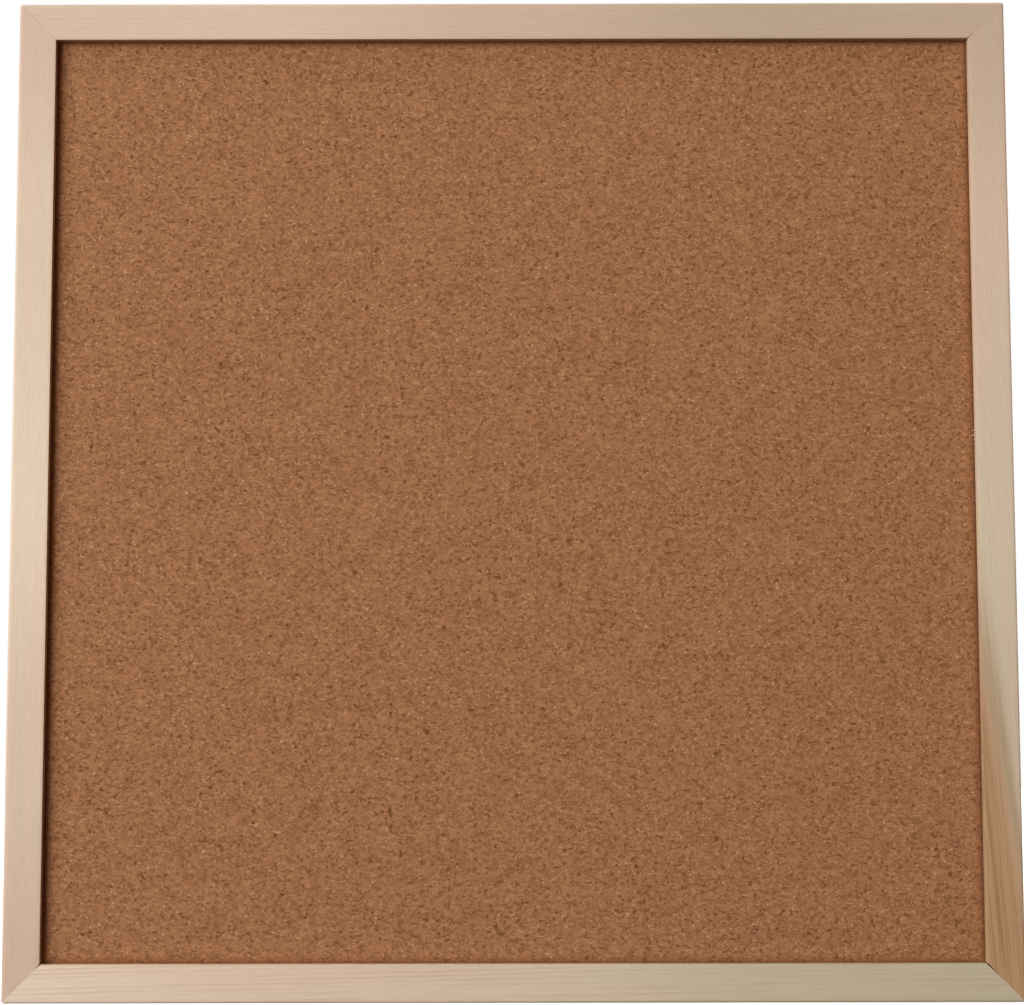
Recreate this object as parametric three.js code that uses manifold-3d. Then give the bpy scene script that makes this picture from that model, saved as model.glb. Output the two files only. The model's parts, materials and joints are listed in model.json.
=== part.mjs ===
// A square cork pin board in a mitred pine frame, hung on a wall by two rings on its back.
// Millimetres, +Z up. Seen from the front, +X is to the right and +Y runs back into the wall.
// The origin is the middle of the board, in the plane of the wall that its bumpers bear on.

import * as THREE from "three";
import { mergeVertices } from "three/addons/utils/BufferGeometryUtils.js";
import Module from "manifold-3d";

const wasm = await Module();
wasm.setup();

// The board
const BOARD_WIDTH = 400;
const BOARD_HEIGHT = 400;

// The pine moulding: a front lip that covers the panel's edge, and a rear part that stands around it
const RAIL_FACE = 15;
const LEDGE = 5;
const LIP_DEPTH = 3.5;
const BACK_RECESS = 3.1;
const OUTER_ROUND = 1;
const INNER_ROUND = 0.5;
const BACK_CHAMFER = 0.5;
const MITRE_GAP = 0.2;

// The panel: a cork sheet glued to a softboard
const CORK_THICKNESS = 2;
const BACKING_THICKNESS = 5;
const PANEL_PLAY = 0.6;

// The V-shaped steel nails that pull each mitre together from behind
const NAILS_PER_CORNER = 2;
const NAIL_WING = 4;
const NAIL_THICKNESS = 0.6;
const NAIL_LENGTH = 7;
const NAIL_SET = 0.3;

// The flat steel points that hold the panel in the rebate
const POINTS_PER_RAIL = 3;
const POINT_WIDTH = 8;
const POINT_THICKNESS = 0.5;
const POINT_REACH = 7;
const POINT_BITE = 3.5;
const POINT_TIP = 2.5;

// The two hangers: a strap folded round the bar of a wire ring, and one screw each
const HANGER_DROP = 100;
const STRAP_WIDTH = 6;
const STRAP_THICKNESS = 0.7;
const STRAP_LAP_GAP = 0.1;
const STRAP_STEP = 4;
const WIRE_DIAMETER = 1.4;
const RING_REACH = 9;
const RING_BEND = 1.2;
const RING_BUTT_GAP = 0.4;
const RING_PLAY = 0.25;
const RING_SIDE_PLAY = 0.3;
const SCREW_LENGTH = 9;
const SCREW_DIAMETER = 2;
const SCREW_TIP = 2.5;
const HEAD_DIAMETER = 4.8;
const HEAD_HEIGHT = 1.4;
const HEAD_CLEARANCE = 0.6;
const CROSS_WIDTH = 0.7;
const CROSS_SPAN = 2.8;
const CROSS_DEPTH = 0.9;

// The rubber bumpers that keep the foot of the board off the wall
const BUMPER_DIAMETER = 9;
const BUMPER_FACE = 7;
const BUMPER_THICKNESS = 3.5;
const BUMPER_EDGE = 0.6;
const BUMPER_INSET = 20;

// Clearances
const SEAT_GAP = 0.2;
const SLOT_CLEARANCE = 0.2;
const CUT_OVERRUN = 1;
const WELD_DISTANCE = 1e-4;

// How finely round shapes are faceted
const ARC_STEPS = 4;
const LATHE_STEPS = 24;
const WIRE_SIDES = 12;
const RING_STEPS = 44;
const LOOP_STEPS = 12;

// Sizes and planes that follow from those above
const REAR_WIDTH = RAIL_FACE - LEDGE;
const CORK_FRONT = LIP_DEPTH + SEAT_GAP;
const BACKING_FRONT = CORK_FRONT + CORK_THICKNESS + SEAT_GAP;
const BACKING_BACK = BACKING_FRONT + BACKING_THICKNESS;
const POINT_FRONT = BACKING_BACK + SEAT_GAP;
const RAIL_DEPTH = BACKING_BACK + BACK_RECESS;
const RAIL_BACK_Y = -(BUMPER_THICKNESS + SEAT_GAP);
const RAIL_FRONT_Y = RAIL_BACK_Y - RAIL_DEPTH;
const PANEL_WIDTH = BOARD_WIDTH - 2 * (REAR_WIDTH + PANEL_PLAY);
const PANEL_HEIGHT = BOARD_HEIGHT - 2 * (REAR_WIDTH + PANEL_PLAY);
const WIRE_RADIUS = WIRE_DIAMETER / 2;
const LOOP_RADIUS = WIRE_RADIUS + RING_PLAY;
const LOOP_OUTER_RADIUS = LOOP_RADIUS + STRAP_THICKNESS;
const RING_HALF_WIDTH = STRAP_WIDTH / 2 + RING_SIDE_PLAY + WIRE_RADIUS;
const RING_SIDE = RING_REACH - RING_HALF_WIDTH;
const STRAP_TOP = SEAT_GAP + 2 * STRAP_THICKNESS + STRAP_LAP_GAP;
const RING_AXIS_HEIGHT = SEAT_GAP + STRAP_THICKNESS + LOOP_RADIUS;
const SCREW_DROP = RING_REACH + WIRE_RADIUS + HEAD_CLEARANCE + HEAD_DIAMETER / 2;
const HANGER_X = (BOARD_WIDTH - REAR_WIDTH) / 2;
const HANGER_Z = BOARD_HEIGHT / 2 - HANGER_DROP;

// A hanging ring leans on its strap where its bow crosses the strap's edges.
const BOW_OVER_STRAP = RING_SIDE + Math.sqrt(RING_HALF_WIDTH ** 2 - (STRAP_WIDTH / 2) ** 2);
const RING_LEAN = Math.asin((STRAP_TOP + WIRE_RADIUS + SEAT_GAP - RING_AXIS_HEIGHT) / BOW_OVER_STRAP);

const pine = new THREE.MeshStandardMaterial({ color: 0xd6bc9e, roughness: 0.7, metalness: 0 });
const cork = new THREE.MeshStandardMaterial({ color: 0x97694a, roughness: 0.95, metalness: 0 });
const softboard = new THREE.MeshStandardMaterial({ color: 0x9a8468, roughness: 0.95, metalness: 0 });
const zincSteel = new THREE.MeshStandardMaterial({ color: 0xb4b7b8, roughness: 0.35, metalness: 1 });
const rubber = new THREE.MeshStandardMaterial({ color: 0x3a3a3a, roughness: 0.6, metalness: 0 });

// A closed geometry as a solid that can be cut and joined
function solidOf(geometry) {
  const bare = new THREE.BufferGeometry();
  bare.setAttribute("position", geometry.getAttribute("position"));
  bare.setIndex(geometry.index);
  const merged = mergeVertices(bare, WELD_DISTANCE);
  return new wasm.Manifold(
    new wasm.Mesh({
      numProp: 3,
      vertProperties: merged.getAttribute("position").array,
      triVerts: Uint32Array.from(merged.index.array),
    }),
  );
}

function geometryOf(solid) {
  const mesh = solid.getMesh();
  const geometry = new THREE.BufferGeometry();
  geometry.setAttribute("position", new THREE.BufferAttribute(mesh.vertProperties, 3));
  geometry.setIndex(new THREE.BufferAttribute(mesh.triVerts, 1));
  geometry.computeVertexNormals();
  return geometry;
}

function cut(geometry, cutters) {
  const left = cutters.reduce((body, cutter) => body.subtract(solidOf(cutter)), solidOf(geometry));
  return geometryOf(left);
}

function named(name, geometry, material) {
  const mesh = new THREE.Mesh(geometry, material);
  mesh.name = name;
  return mesh;
}

function outline(points) {
  return new THREE.Shape(points.map(([x, y]) => new THREE.Vector2(x, y)));
}

// A shape drawn in X and Z, as thick as the way from one Y to another
function slab(shape, fromY, toY) {
  const geometry = new THREE.ExtrudeGeometry(shape, { depth: toY - fromY, bevelEnabled: false });
  return geometry.rotateX(Math.PI / 2).translate(0, toY, 0);
}

// A section drawn in Y and Z, centred on X
function bar(shape, length, curveSegments) {
  const geometry = new THREE.ExtrudeGeometry(shape, { depth: length, curveSegments, bevelEnabled: false });
  const toLengthAlongX = new THREE.Matrix4().makeBasis(
    new THREE.Vector3(0, 1, 0),
    new THREE.Vector3(0, 0, 1),
    new THREE.Vector3(1, 0, 0),
  );
  return geometry.applyMatrix4(toLengthAlongX).translate(-length / 2, 0, 0);
}

// Each rail is drawn as the top one: X along it, Y from its front face back, Z = 0 on its outer edge.
function mouldingSection() {
  const section = new THREE.Shape();
  section.moveTo(OUTER_ROUND, 0);
  section.lineTo(RAIL_DEPTH - BACK_CHAMFER, 0);
  section.lineTo(RAIL_DEPTH, -BACK_CHAMFER);
  section.lineTo(RAIL_DEPTH, BACK_CHAMFER - REAR_WIDTH);
  section.lineTo(RAIL_DEPTH - BACK_CHAMFER, -REAR_WIDTH);
  section.lineTo(LIP_DEPTH, -REAR_WIDTH);
  section.lineTo(LIP_DEPTH, -RAIL_FACE);
  section.absarc(INNER_ROUND, INNER_ROUND - RAIL_FACE, INNER_ROUND, -Math.PI / 2, -Math.PI, true);
  section.absarc(OUTER_ROUND, -OUTER_ROUND, OUTER_ROUND, Math.PI, Math.PI / 2, true);
  return section;
}

function mitredRail(length) {
  const rail = bar(mouldingSection(), length, ARC_STEPS);
  const places = rail.getAttribute("position");
  for (let i = 0; i < places.count; i += 1) {
    const end = Math.sign(places.getX(i));
    places.setX(i, end * (length / 2 + places.getZ(i) - MITRE_GAP / Math.SQRT2));
  }
  return rail;
}

// Corner nails: two wings, each along one of the rails that meet there, with the corner itself at X = Z = 0
function nailOutline(inset, grow) {
  const near = inset - NAIL_THICKNESS / 2 - grow;
  const far = inset + NAIL_THICKNESS / 2 + grow;
  const tip = inset + NAIL_WING + grow;
  return outline([[near, -near], [tip, -near], [tip, -far], [far, -far], [far, -tip], [near, -tip]]);
}

function nailInsets() {
  const step = REAR_WIDTH / (NAILS_PER_CORNER + 1);
  return Array.from({ length: NAILS_PER_CORNER }, (_, i) => step * (i + 1));
}

function cornerNail(inset) {
  return slab(nailOutline(inset, 0), RAIL_DEPTH - NAIL_LENGTH, RAIL_DEPTH - NAIL_SET);
}

function nailSlots(length) {
  const fromY = RAIL_DEPTH - NAIL_LENGTH - SLOT_CLEARANCE;
  return nailInsets().flatMap((inset) => {
    const slot = slab(nailOutline(inset, SLOT_CLEARANCE), fromY, RAIL_DEPTH + CUT_OVERRUN);
    const atStart = slot.clone().translate(-length / 2, 0, 0);
    const atEnd = slot.clone().rotateY(Math.PI / 2).translate(length / 2, 0, 0);
    return [atStart, atEnd];
  });
}

// Panel points: driven into the rebate's wall, and lying on the back of the panel
function pointOutline(grow) {
  const half = POINT_WIDTH / 2 + grow;
  const end = -REAR_WIDTH - POINT_REACH - grow;
  const shoulder = POINT_BITE - POINT_TIP - REAR_WIDTH;
  const tip = POINT_BITE - REAR_WIDTH + grow;
  return outline([[-half, end], [half, end], [half, shoulder], [0, tip], [-half, shoulder]]);
}

function pointPlaces(length) {
  const step = (length - 2 * REAR_WIDTH) / POINTS_PER_RAIL;
  return Array.from({ length: POINTS_PER_RAIL }, (_, i) => step * (i - (POINTS_PER_RAIL - 1) / 2));
}

function panelPoint() {
  return slab(pointOutline(0), POINT_FRONT, POINT_FRONT + POINT_THICKNESS);
}

function pointSlots(length) {
  const fromY = POINT_FRONT - SLOT_CLEARANCE;
  const toY = POINT_FRONT + POINT_THICKNESS + SLOT_CLEARANCE;
  return pointPlaces(length).map((x) => slab(pointOutline(SLOT_CLEARANCE), fromY, toY).translate(x, 0, 0));
}

// The pilot hole for a hanger's screw, at a place along a rail's middle
function pilotHole(x) {
  const depth = SCREW_LENGTH - STRAP_TOP - SEAT_GAP + SLOT_CLEARANCE;
  const radius = SCREW_DIAMETER / 2 + SLOT_CLEARANCE;
  const hole = new THREE.CylinderGeometry(radius, radius, depth + CUT_OVERRUN, LATHE_STEPS);
  const middleY = RAIL_DEPTH + (CUT_OVERRUN - depth) / 2;
  return hole.translate(x, middleY, -REAR_WIDTH / 2);
}

// A rail in its place, with the points along it and the nails at its first corner
function placedRail({ name, corner, length, x, z, turn, screwAt }) {
  const group = new THREE.Group();
  group.position.set(x, RAIL_FRONT_Y, z);
  group.rotation.y = turn;
  const holes = screwAt.map((place) => pilotHole(place));
  const cutters = [...nailSlots(length), ...pointSlots(length), ...holes];
  group.add(named(`${name}_rail`, cut(mitredRail(length), cutters), pine));
  pointPlaces(length).forEach((place, i) => {
    const point = named(`${name}_panel_point_${i + 1}`, panelPoint(), zincSteel);
    point.position.x = place;
    group.add(point);
  });
  nailInsets().forEach((inset, i) => {
    const nail = named(`${corner}_corner_nail_${i + 1}`, cornerNail(inset), zincSteel);
    nail.position.x = -length / 2;
    group.add(nail);
  });
  return group;
}

function frame() {
  const screwZ = HANGER_Z - SCREW_DROP;
  const across = { length: BOARD_WIDTH, x: 0, screwAt: [] };
  const right = { length: BOARD_HEIGHT, x: BOARD_WIDTH / 2, z: 0, screwAt: [-screwZ] };
  const left = { length: BOARD_HEIGHT, x: -BOARD_WIDTH / 2, z: 0, screwAt: [screwZ] };
  const quarter = Math.PI / 2;
  const rails = [
    { ...across, name: "top", corner: "top_left", z: BOARD_HEIGHT / 2, turn: 0 },
    { ...right, name: "right", corner: "top_right", turn: quarter },
    { ...across, name: "bottom", corner: "bottom_right", z: -BOARD_HEIGHT / 2, turn: 2 * quarter },
    { ...left, name: "left", corner: "bottom_left", turn: -quarter },
  ];
  const group = new THREE.Group();
  rails.forEach((rail) => group.add(placedRail(rail)));
  return group;
}

// The cork sheet and the softboard behind it
function panel() {
  const group = new THREE.Group();
  const sheet = new THREE.BoxGeometry(PANEL_WIDTH, CORK_THICKNESS, PANEL_HEIGHT);
  const board = new THREE.BoxGeometry(PANEL_WIDTH, BACKING_THICKNESS, PANEL_HEIGHT);
  const corkSheet = named("cork_sheet", sheet, cork);
  const backingBoard = named("backing_board", board, softboard);
  corkSheet.position.y = RAIL_FRONT_Y + CORK_FRONT + CORK_THICKNESS / 2;
  backingBoard.position.y = RAIL_FRONT_Y + BACKING_FRONT + BACKING_THICKNESS / 2;
  group.add(corkSheet, backingBoard);
  return group;
}

// A hanger is drawn with the bar of its ring along X at Z = 0, and Y = 0 on the back of its rail.
// The strap's side view: the lower leaf, the loop round the bar and the upper leaf, longer than its plan
function strapSection() {
  const base = SEAT_GAP;
  const lap = STRAP_TOP - STRAP_THICKNESS;
  const foot = -(SCREW_DROP + STRAP_WIDTH);
  const section = new THREE.Shape();
  section.moveTo(base, foot);
  section.absarc(RING_AXIS_HEIGHT, 0, LOOP_OUTER_RADIUS, Math.PI, 0, true);
  section.lineTo(STRAP_TOP, -STRAP_STEP);
  section.lineTo(STRAP_TOP, foot);
  section.lineTo(lap, foot);
  section.lineTo(lap, -STRAP_STEP);
  section.absarc(RING_AXIS_HEIGHT, 0, LOOP_RADIUS, 0, Math.PI, false);
  section.lineTo(base + STRAP_THICKNESS, foot);
  return section;
}

// The strap's plan, with a round foot about its screw hole
function strapPlan() {
  const half = STRAP_WIDTH / 2;
  const head = LOOP_OUTER_RADIUS + CUT_OVERRUN;
  const plan = new THREE.Shape();
  plan.moveTo(half, head);
  plan.lineTo(-half, head);
  plan.absarc(0, -SCREW_DROP, half, Math.PI, 2 * Math.PI, false);
  return plan;
}

function strap() {
  const folded = solidOf(bar(strapSection(), STRAP_WIDTH + CUT_OVERRUN, LOOP_STEPS));
  const plan = solidOf(slab(strapPlan(), -CUT_OVERRUN, RING_AXIS_HEIGHT + LOOP_OUTER_RADIUS + CUT_OVERRUN));
  const radius = SCREW_DIAMETER / 2 + SLOT_CLEARANCE;
  const hole = new THREE.CylinderGeometry(radius, radius, 2 * (STRAP_TOP + CUT_OVERRUN), LATHE_STEPS);
  hole.translate(0, 0, -SCREW_DROP);
  return geometryOf(folded.intersect(plan).subtract(solidOf(hole)));
}

// An arc of a quarter or half turn in the plane of the ring
class RingArc extends THREE.Curve {
  constructor(x, z, radius, from, to) {
    super();
    Object.assign(this, { x, z, radius, from, to });
  }

  getPoint(t, target = new THREE.Vector3()) {
    const angle = this.from + (this.to - this.from) * t;
    return target.set(this.x + this.radius * Math.cos(angle), 0, this.z + this.radius * Math.sin(angle));
  }
}

// The wire runs from the middle of the bar round the bow and back, and its ends butt inside the strap.
function ringPath() {
  const half = RING_HALF_WIDTH;
  const bend = half - RING_BEND;
  const at = (x, z) => new THREE.Vector3(x, 0, z);
  const path = new THREE.CurvePath();
  path.add(new THREE.LineCurve3(at(RING_BUTT_GAP / 2, 0), at(bend, 0)));
  path.add(new RingArc(bend, -RING_BEND, RING_BEND, Math.PI / 2, 0));
  path.add(new THREE.LineCurve3(at(half, -RING_BEND), at(half, -RING_SIDE)));
  path.add(new RingArc(0, -RING_SIDE, half, 0, -Math.PI));
  path.add(new THREE.LineCurve3(at(-half, -RING_SIDE), at(-half, -RING_BEND)));
  path.add(new RingArc(-bend, -RING_BEND, RING_BEND, Math.PI, Math.PI / 2));
  path.add(new THREE.LineCurve3(at(-bend, 0), at(-RING_BUTT_GAP / 2, 0)));
  return path;
}

function ring() {
  const wire = new THREE.Shape();
  wire.absarc(0, 0, WIRE_RADIUS, 0, 2 * Math.PI, false);
  const geometry = new THREE.ExtrudeGeometry(wire, {
    steps: RING_STEPS,
    curveSegments: WIRE_SIDES / 2,
    bevelEnabled: false,
    extrudePath: ringPath(),
  });
  return geometry;
}

function screw() {
  const headBase = STRAP_TOP + SEAT_GAP;
  const headTop = headBase + HEAD_HEIGHT;
  const tip = headBase - SCREW_LENGTH;
  const profile = [
    new THREE.Vector2(0, tip),
    new THREE.Vector2(SCREW_DIAMETER / 2, tip + SCREW_TIP),
    new THREE.Vector2(SCREW_DIAMETER / 2, headBase),
  ];
  const dome = new THREE.EllipseCurve(0, headBase, HEAD_DIAMETER / 2, HEAD_HEIGHT, 0, Math.PI / 2);
  profile.push(...dome.getPoints(2 * ARC_STEPS).slice(0, -1), new THREE.Vector2(0, headTop));
  const turned = new THREE.LatheGeometry(profile, LATHE_STEPS);
  const crossDepth = 2 * CROSS_DEPTH;
  const slots = [
    new THREE.BoxGeometry(CROSS_SPAN, crossDepth, CROSS_WIDTH).translate(0, headTop, 0),
    new THREE.BoxGeometry(CROSS_WIDTH, crossDepth, CROSS_SPAN).translate(0, headTop, 0),
  ];
  return cut(turned, slots).translate(0, 0, -SCREW_DROP);
}

function hanger(side, x) {
  const group = new THREE.Group();
  group.position.set(x, RAIL_BACK_Y, HANGER_Z);
  const wireRing = named(`${side}_hanger_ring`, ring(), zincSteel);
  wireRing.position.y = RING_AXIS_HEIGHT;
  wireRing.rotation.x = RING_LEAN;
  group.add(named(`${side}_hanger_strap`, strap(), zincSteel));
  group.add(named(`${side}_hanger_screw`, screw(), zincSteel));
  group.add(wireRing);
  return group;
}

// A tapered rubber disc from the rail's back to the wall, with its rim taken off
function wallBumper(side, x) {
  const base = BUMPER_DIAMETER / 2;
  const face = BUMPER_FACE / 2;
  const profile = [
    new THREE.Vector2(0, -BUMPER_THICKNESS),
    new THREE.Vector2(base, -BUMPER_THICKNESS),
    new THREE.Vector2(face + BUMPER_EDGE, -BUMPER_EDGE),
    new THREE.Vector2(face, 0),
    new THREE.Vector2(0, 0),
  ];
  const bumper = named(`${side}_wall_bumper`, new THREE.LatheGeometry(profile, LATHE_STEPS), rubber);
  bumper.position.set(x, 0, (REAR_WIDTH - BOARD_HEIGHT) / 2);
  return bumper;
}

const pinBoard = new THREE.Group();
pinBoard.add(frame(), panel());
pinBoard.add(hanger("left", -HANGER_X), hanger("right", HANGER_X));
pinBoard.add(wallBumper("left", BUMPER_INSET - BOARD_WIDTH / 2));
pinBoard.add(wallBumper("right", BOARD_WIDTH / 2 - BUMPER_INSET));

export default pinBoard;
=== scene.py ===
"""A square cork pin board in a mitred pine frame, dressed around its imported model.

Lengths are metres. Seen from the front, +X is to the right, +Z is up and +Y runs back into the wall.
"""

import json
import math
from typing import NamedTuple

import bmesh
import bpy
import numpy as np
from bpy.props import FloatProperty, FloatVectorProperty, PointerProperty
from mathutils import Color, Matrix, Vector, noise


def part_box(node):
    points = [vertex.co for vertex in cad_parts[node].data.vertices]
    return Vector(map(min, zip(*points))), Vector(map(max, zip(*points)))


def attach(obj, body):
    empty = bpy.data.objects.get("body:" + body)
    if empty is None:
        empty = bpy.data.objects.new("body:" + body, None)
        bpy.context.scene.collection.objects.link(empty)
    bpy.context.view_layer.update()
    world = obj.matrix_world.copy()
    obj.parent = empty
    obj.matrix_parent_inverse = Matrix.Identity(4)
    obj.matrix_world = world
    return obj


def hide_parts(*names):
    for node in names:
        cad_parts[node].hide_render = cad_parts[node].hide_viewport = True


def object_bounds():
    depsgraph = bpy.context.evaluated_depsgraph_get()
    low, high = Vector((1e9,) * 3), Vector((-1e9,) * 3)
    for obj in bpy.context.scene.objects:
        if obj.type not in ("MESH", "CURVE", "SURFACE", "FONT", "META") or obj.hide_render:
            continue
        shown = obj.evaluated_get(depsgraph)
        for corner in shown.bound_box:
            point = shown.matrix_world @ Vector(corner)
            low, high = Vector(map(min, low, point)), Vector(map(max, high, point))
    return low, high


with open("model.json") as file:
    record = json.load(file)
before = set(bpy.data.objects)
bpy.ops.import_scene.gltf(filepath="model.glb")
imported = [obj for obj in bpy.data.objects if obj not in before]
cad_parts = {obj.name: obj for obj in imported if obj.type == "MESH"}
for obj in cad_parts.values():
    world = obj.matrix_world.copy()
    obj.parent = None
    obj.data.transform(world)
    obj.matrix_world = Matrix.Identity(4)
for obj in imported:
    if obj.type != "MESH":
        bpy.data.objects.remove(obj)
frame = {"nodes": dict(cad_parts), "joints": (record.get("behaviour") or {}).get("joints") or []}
CAD_LOW, CAD_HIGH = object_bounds()

bl_info = {
    "name": "Cork Pin Board",
    "version": (1, 0, 0),
    "blender": (4, 5, 0),
    "location": "View3D > Sidebar > Pin Board",
    "description": "Builds a square cork pin board in a mitred pine frame around its packed model",
    "category": "Add Mesh",
}

MM = 0.001

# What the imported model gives
RAIL_LOW, RAIL_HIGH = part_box("left_rail")
CORK_LOW, CORK_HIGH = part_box("cork_sheet")
BACKING_LOW, BACKING_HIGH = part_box("backing_board")
STRAP_LOW, STRAP_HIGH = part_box("left_hanger_strap")
SCREW_LOW, SCREW_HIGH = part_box("left_hanger_screw")
RING_AXES = {joint["child"]: Vector(joint["pos_m"]) for joint in frame["joints"]}
HALF_BOARD = CAD_HIGH.x
HALF_STRAP = (STRAP_HIGH.x - STRAP_LOW.x) / 2

# The corners in order round the frame: each rail starts at the corner that stands in its own place here.
CORNERS = ("top_left", "top_right", "bottom_right", "bottom_left")


class Stick(NamedTuple):
    """One rail's place in the frame and the way its pine was cut.

    Its paleness, at even steps along it, goes from grey at -1 through rosy at 0 to pale at 1. The pith
    that its rings grew round lies so far in from the middle of its face and so far back, and runs at a
    tilt to it, in degrees. The figure is how strongly the rings show, and the heart is brown heartwood.
    """

    name: str
    along: Vector
    inward: Vector
    paleness: tuple
    pith: tuple
    tilt: float
    figure: float
    heart: bool = False


UP, RIGHT = Vector((0, 0, 1)), Vector((1, 0, 0))
STICKS = (
    Stick("top", RIGHT, -UP, (0.25, 0.35, -0.1, -0.75, -0.5), (30 * MM, 16 * MM), 0.8, 0.16),
    Stick("right", -UP, -RIGHT, (-0.4, 0.42, 0.28, -0.15, 0.0), (26 * MM, 14 * MM), -4.5, 0.14, True),
    Stick("bottom", -RIGHT, UP, (-0.8, -0.55, 0.15, 0.5, 0.95), (-12 * MM, 10 * MM), -1.2, 0.4),
    Stick("left", UP, RIGHT, (-0.13, 0.4, 1.0, 0.62, 0.06), (-34 * MM, 20 * MM), 0.6, 0.1),
)


def tone(red, green, blue):
    """A display colour of 0 to 255 as the linear colour that shaders take."""
    display = Color((red / 255, green / 255, blue / 255))
    return (*display.from_srgb_to_scene_linear(), 1.0)


def grey(level):
    """A grey of one level, as a colour."""
    return (level, level, level, 1.0)


WHITE = grey(1.0)


def kind_of_setting(kind, **options):
    """A function that makes one kind of setting from its name, its description and its default."""

    def setting(name, description, default):
        return kind(name=name, description=description, default=default, **options)

    return setting


length = kind_of_setting(FloatProperty, min=0.0, precision=5, subtype="DISTANCE", unit="LENGTH")
share = kind_of_setting(FloatProperty, min=0.0, max=1.0, subtype="FACTOR")
angle = kind_of_setting(FloatProperty, subtype="ANGLE", unit="ROTATION")
power = kind_of_setting(FloatProperty, min=0.0, unit="POWER")
focal_length = kind_of_setting(FloatProperty, min=1.0, unit="CAMERA")
position = kind_of_setting(FloatVectorProperty, subtype="TRANSLATION", unit="LENGTH")
colour = kind_of_setting(FloatVectorProperty, size=4, min=0.0, max=1.0, subtype="COLOR")


# Settings


class RailSettings(bpy.types.PropertyGroup):
    """The pine moulding that the four rails are cut from."""

    face: length("Face width", "Width of a rail from the front", RAIL_HIGH.x - RAIL_LOW.x)
    depth: length("Depth", "Depth of a rail from front to back", RAIL_HIGH.y - RAIL_LOW.y)
    rear: length("Rear width", "Width of the part that stands around the panel", 10 * MM)
    lip: length("Lip depth", "Thickness of the lip over the panel's edge", 3.5 * MM)
    outer_round: length("Outer round", "Radius of the outer front arris", 1 * MM)
    inner_round: length("Inner round", "Radius of the inner front arris", 0.2 * MM)
    back_round: length("Back round", "Radius of the arrises at the back", 0.5 * MM)
    corner_round: length("Corner round", "Sanded radius of the frame's corners", 1.2 * MM)
    mitre_gap: length("Mitre gap", "Open joint between two rails", 0.03 * MM)
    wander: length("Wander", "How far sanding strayed from straight", 0.06 * MM)
    pale_pine: colour("Pale pine", "The creamiest sapwood", tone(229, 207, 184))
    rosy_pine: colour("Rosy pine", "The usual sapwood, a little pink", tone(208, 179, 159))
    grey_pine: colour("Grey pine", "Duller, greener sapwood", tone(183, 166, 139))
    late_wood: colour("Late wood", "The dark side of each growth ring", tone(188, 148, 120))
    heart_wood: colour("Heartwood", "The brown wood near the pith", tone(182, 143, 107))
    heart_line: colour("Heart line", "Late wood in the brown part", tone(160, 120, 86))
    heart_seam: colour("Heart seam", "The dull line where the brown part begins", tone(150, 132, 100))
    ring_spacing: length("Ring spacing", "Distance between growth rings", 1.6 * MM)


class CorkSettings(bpy.types.PropertyGroup):
    """The pressed cork sheet."""

    grid: length("Grid step", "Distance between the points of the sheet's surface", 1.6 * MM)
    relief: length("Relief", "Depth of the hollows between the granules", 0.14 * MM)
    edge_dip: length("Edge dip", "How far the frame's lip has pressed the sheet's edge in", 0.45 * MM)
    edge_reach: length("Edge reach", "How far from the lip the pressed edge can be seen", 1.0 * MM)
    # Painted shade: the cork is painted darker for this far inside the frame's lip.
    painted_shade_reach: length("Painted shade reach", "How far from the lip the cork is darker", 4.0 * MM)
    granule: length("Granule", "Size of a cork granule", 1.6 * MM)
    crumb: length("Crumb", "Size of the crumbs between the granules", 0.8 * MM)
    body: colour("Cork", "The usual colour of a granule", tone(155, 107, 73))
    ruddy: colour("Ruddy cork", "The redder patches", tone(151, 101, 71))
    # Painted shade: the darker, redder colour that the cork beside the lip is painted towards.
    painted_lip_shade: colour("Painted lip shade", "The darker cork beside the lip", tone(110, 64, 36))
    dark: colour("Bark", "The dark flecks of bark", tone(96, 56, 26))
    pale: colour("Pale cork", "The lightest crumbs", tone(206, 162, 126))


class BackingSettings(bpy.types.PropertyGroup):
    """The softboard behind the cork."""

    grid: length("Grid step", "Distance between the points of the board's surface", 4 * MM)
    relief: length("Relief", "Unevenness of the board's face", 0.12 * MM)
    fibre: length("Fibre", "Width of a fibre bundle", 0.7 * MM)
    body: colour("Softboard", "The usual colour of the fibre", tone(158, 134, 104))
    dark: colour("Dark fibre", "The darker bundles", tone(112, 90, 66))
    pale: colour("Pale fibre", "The paler bundles", tone(190, 168, 138))


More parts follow.
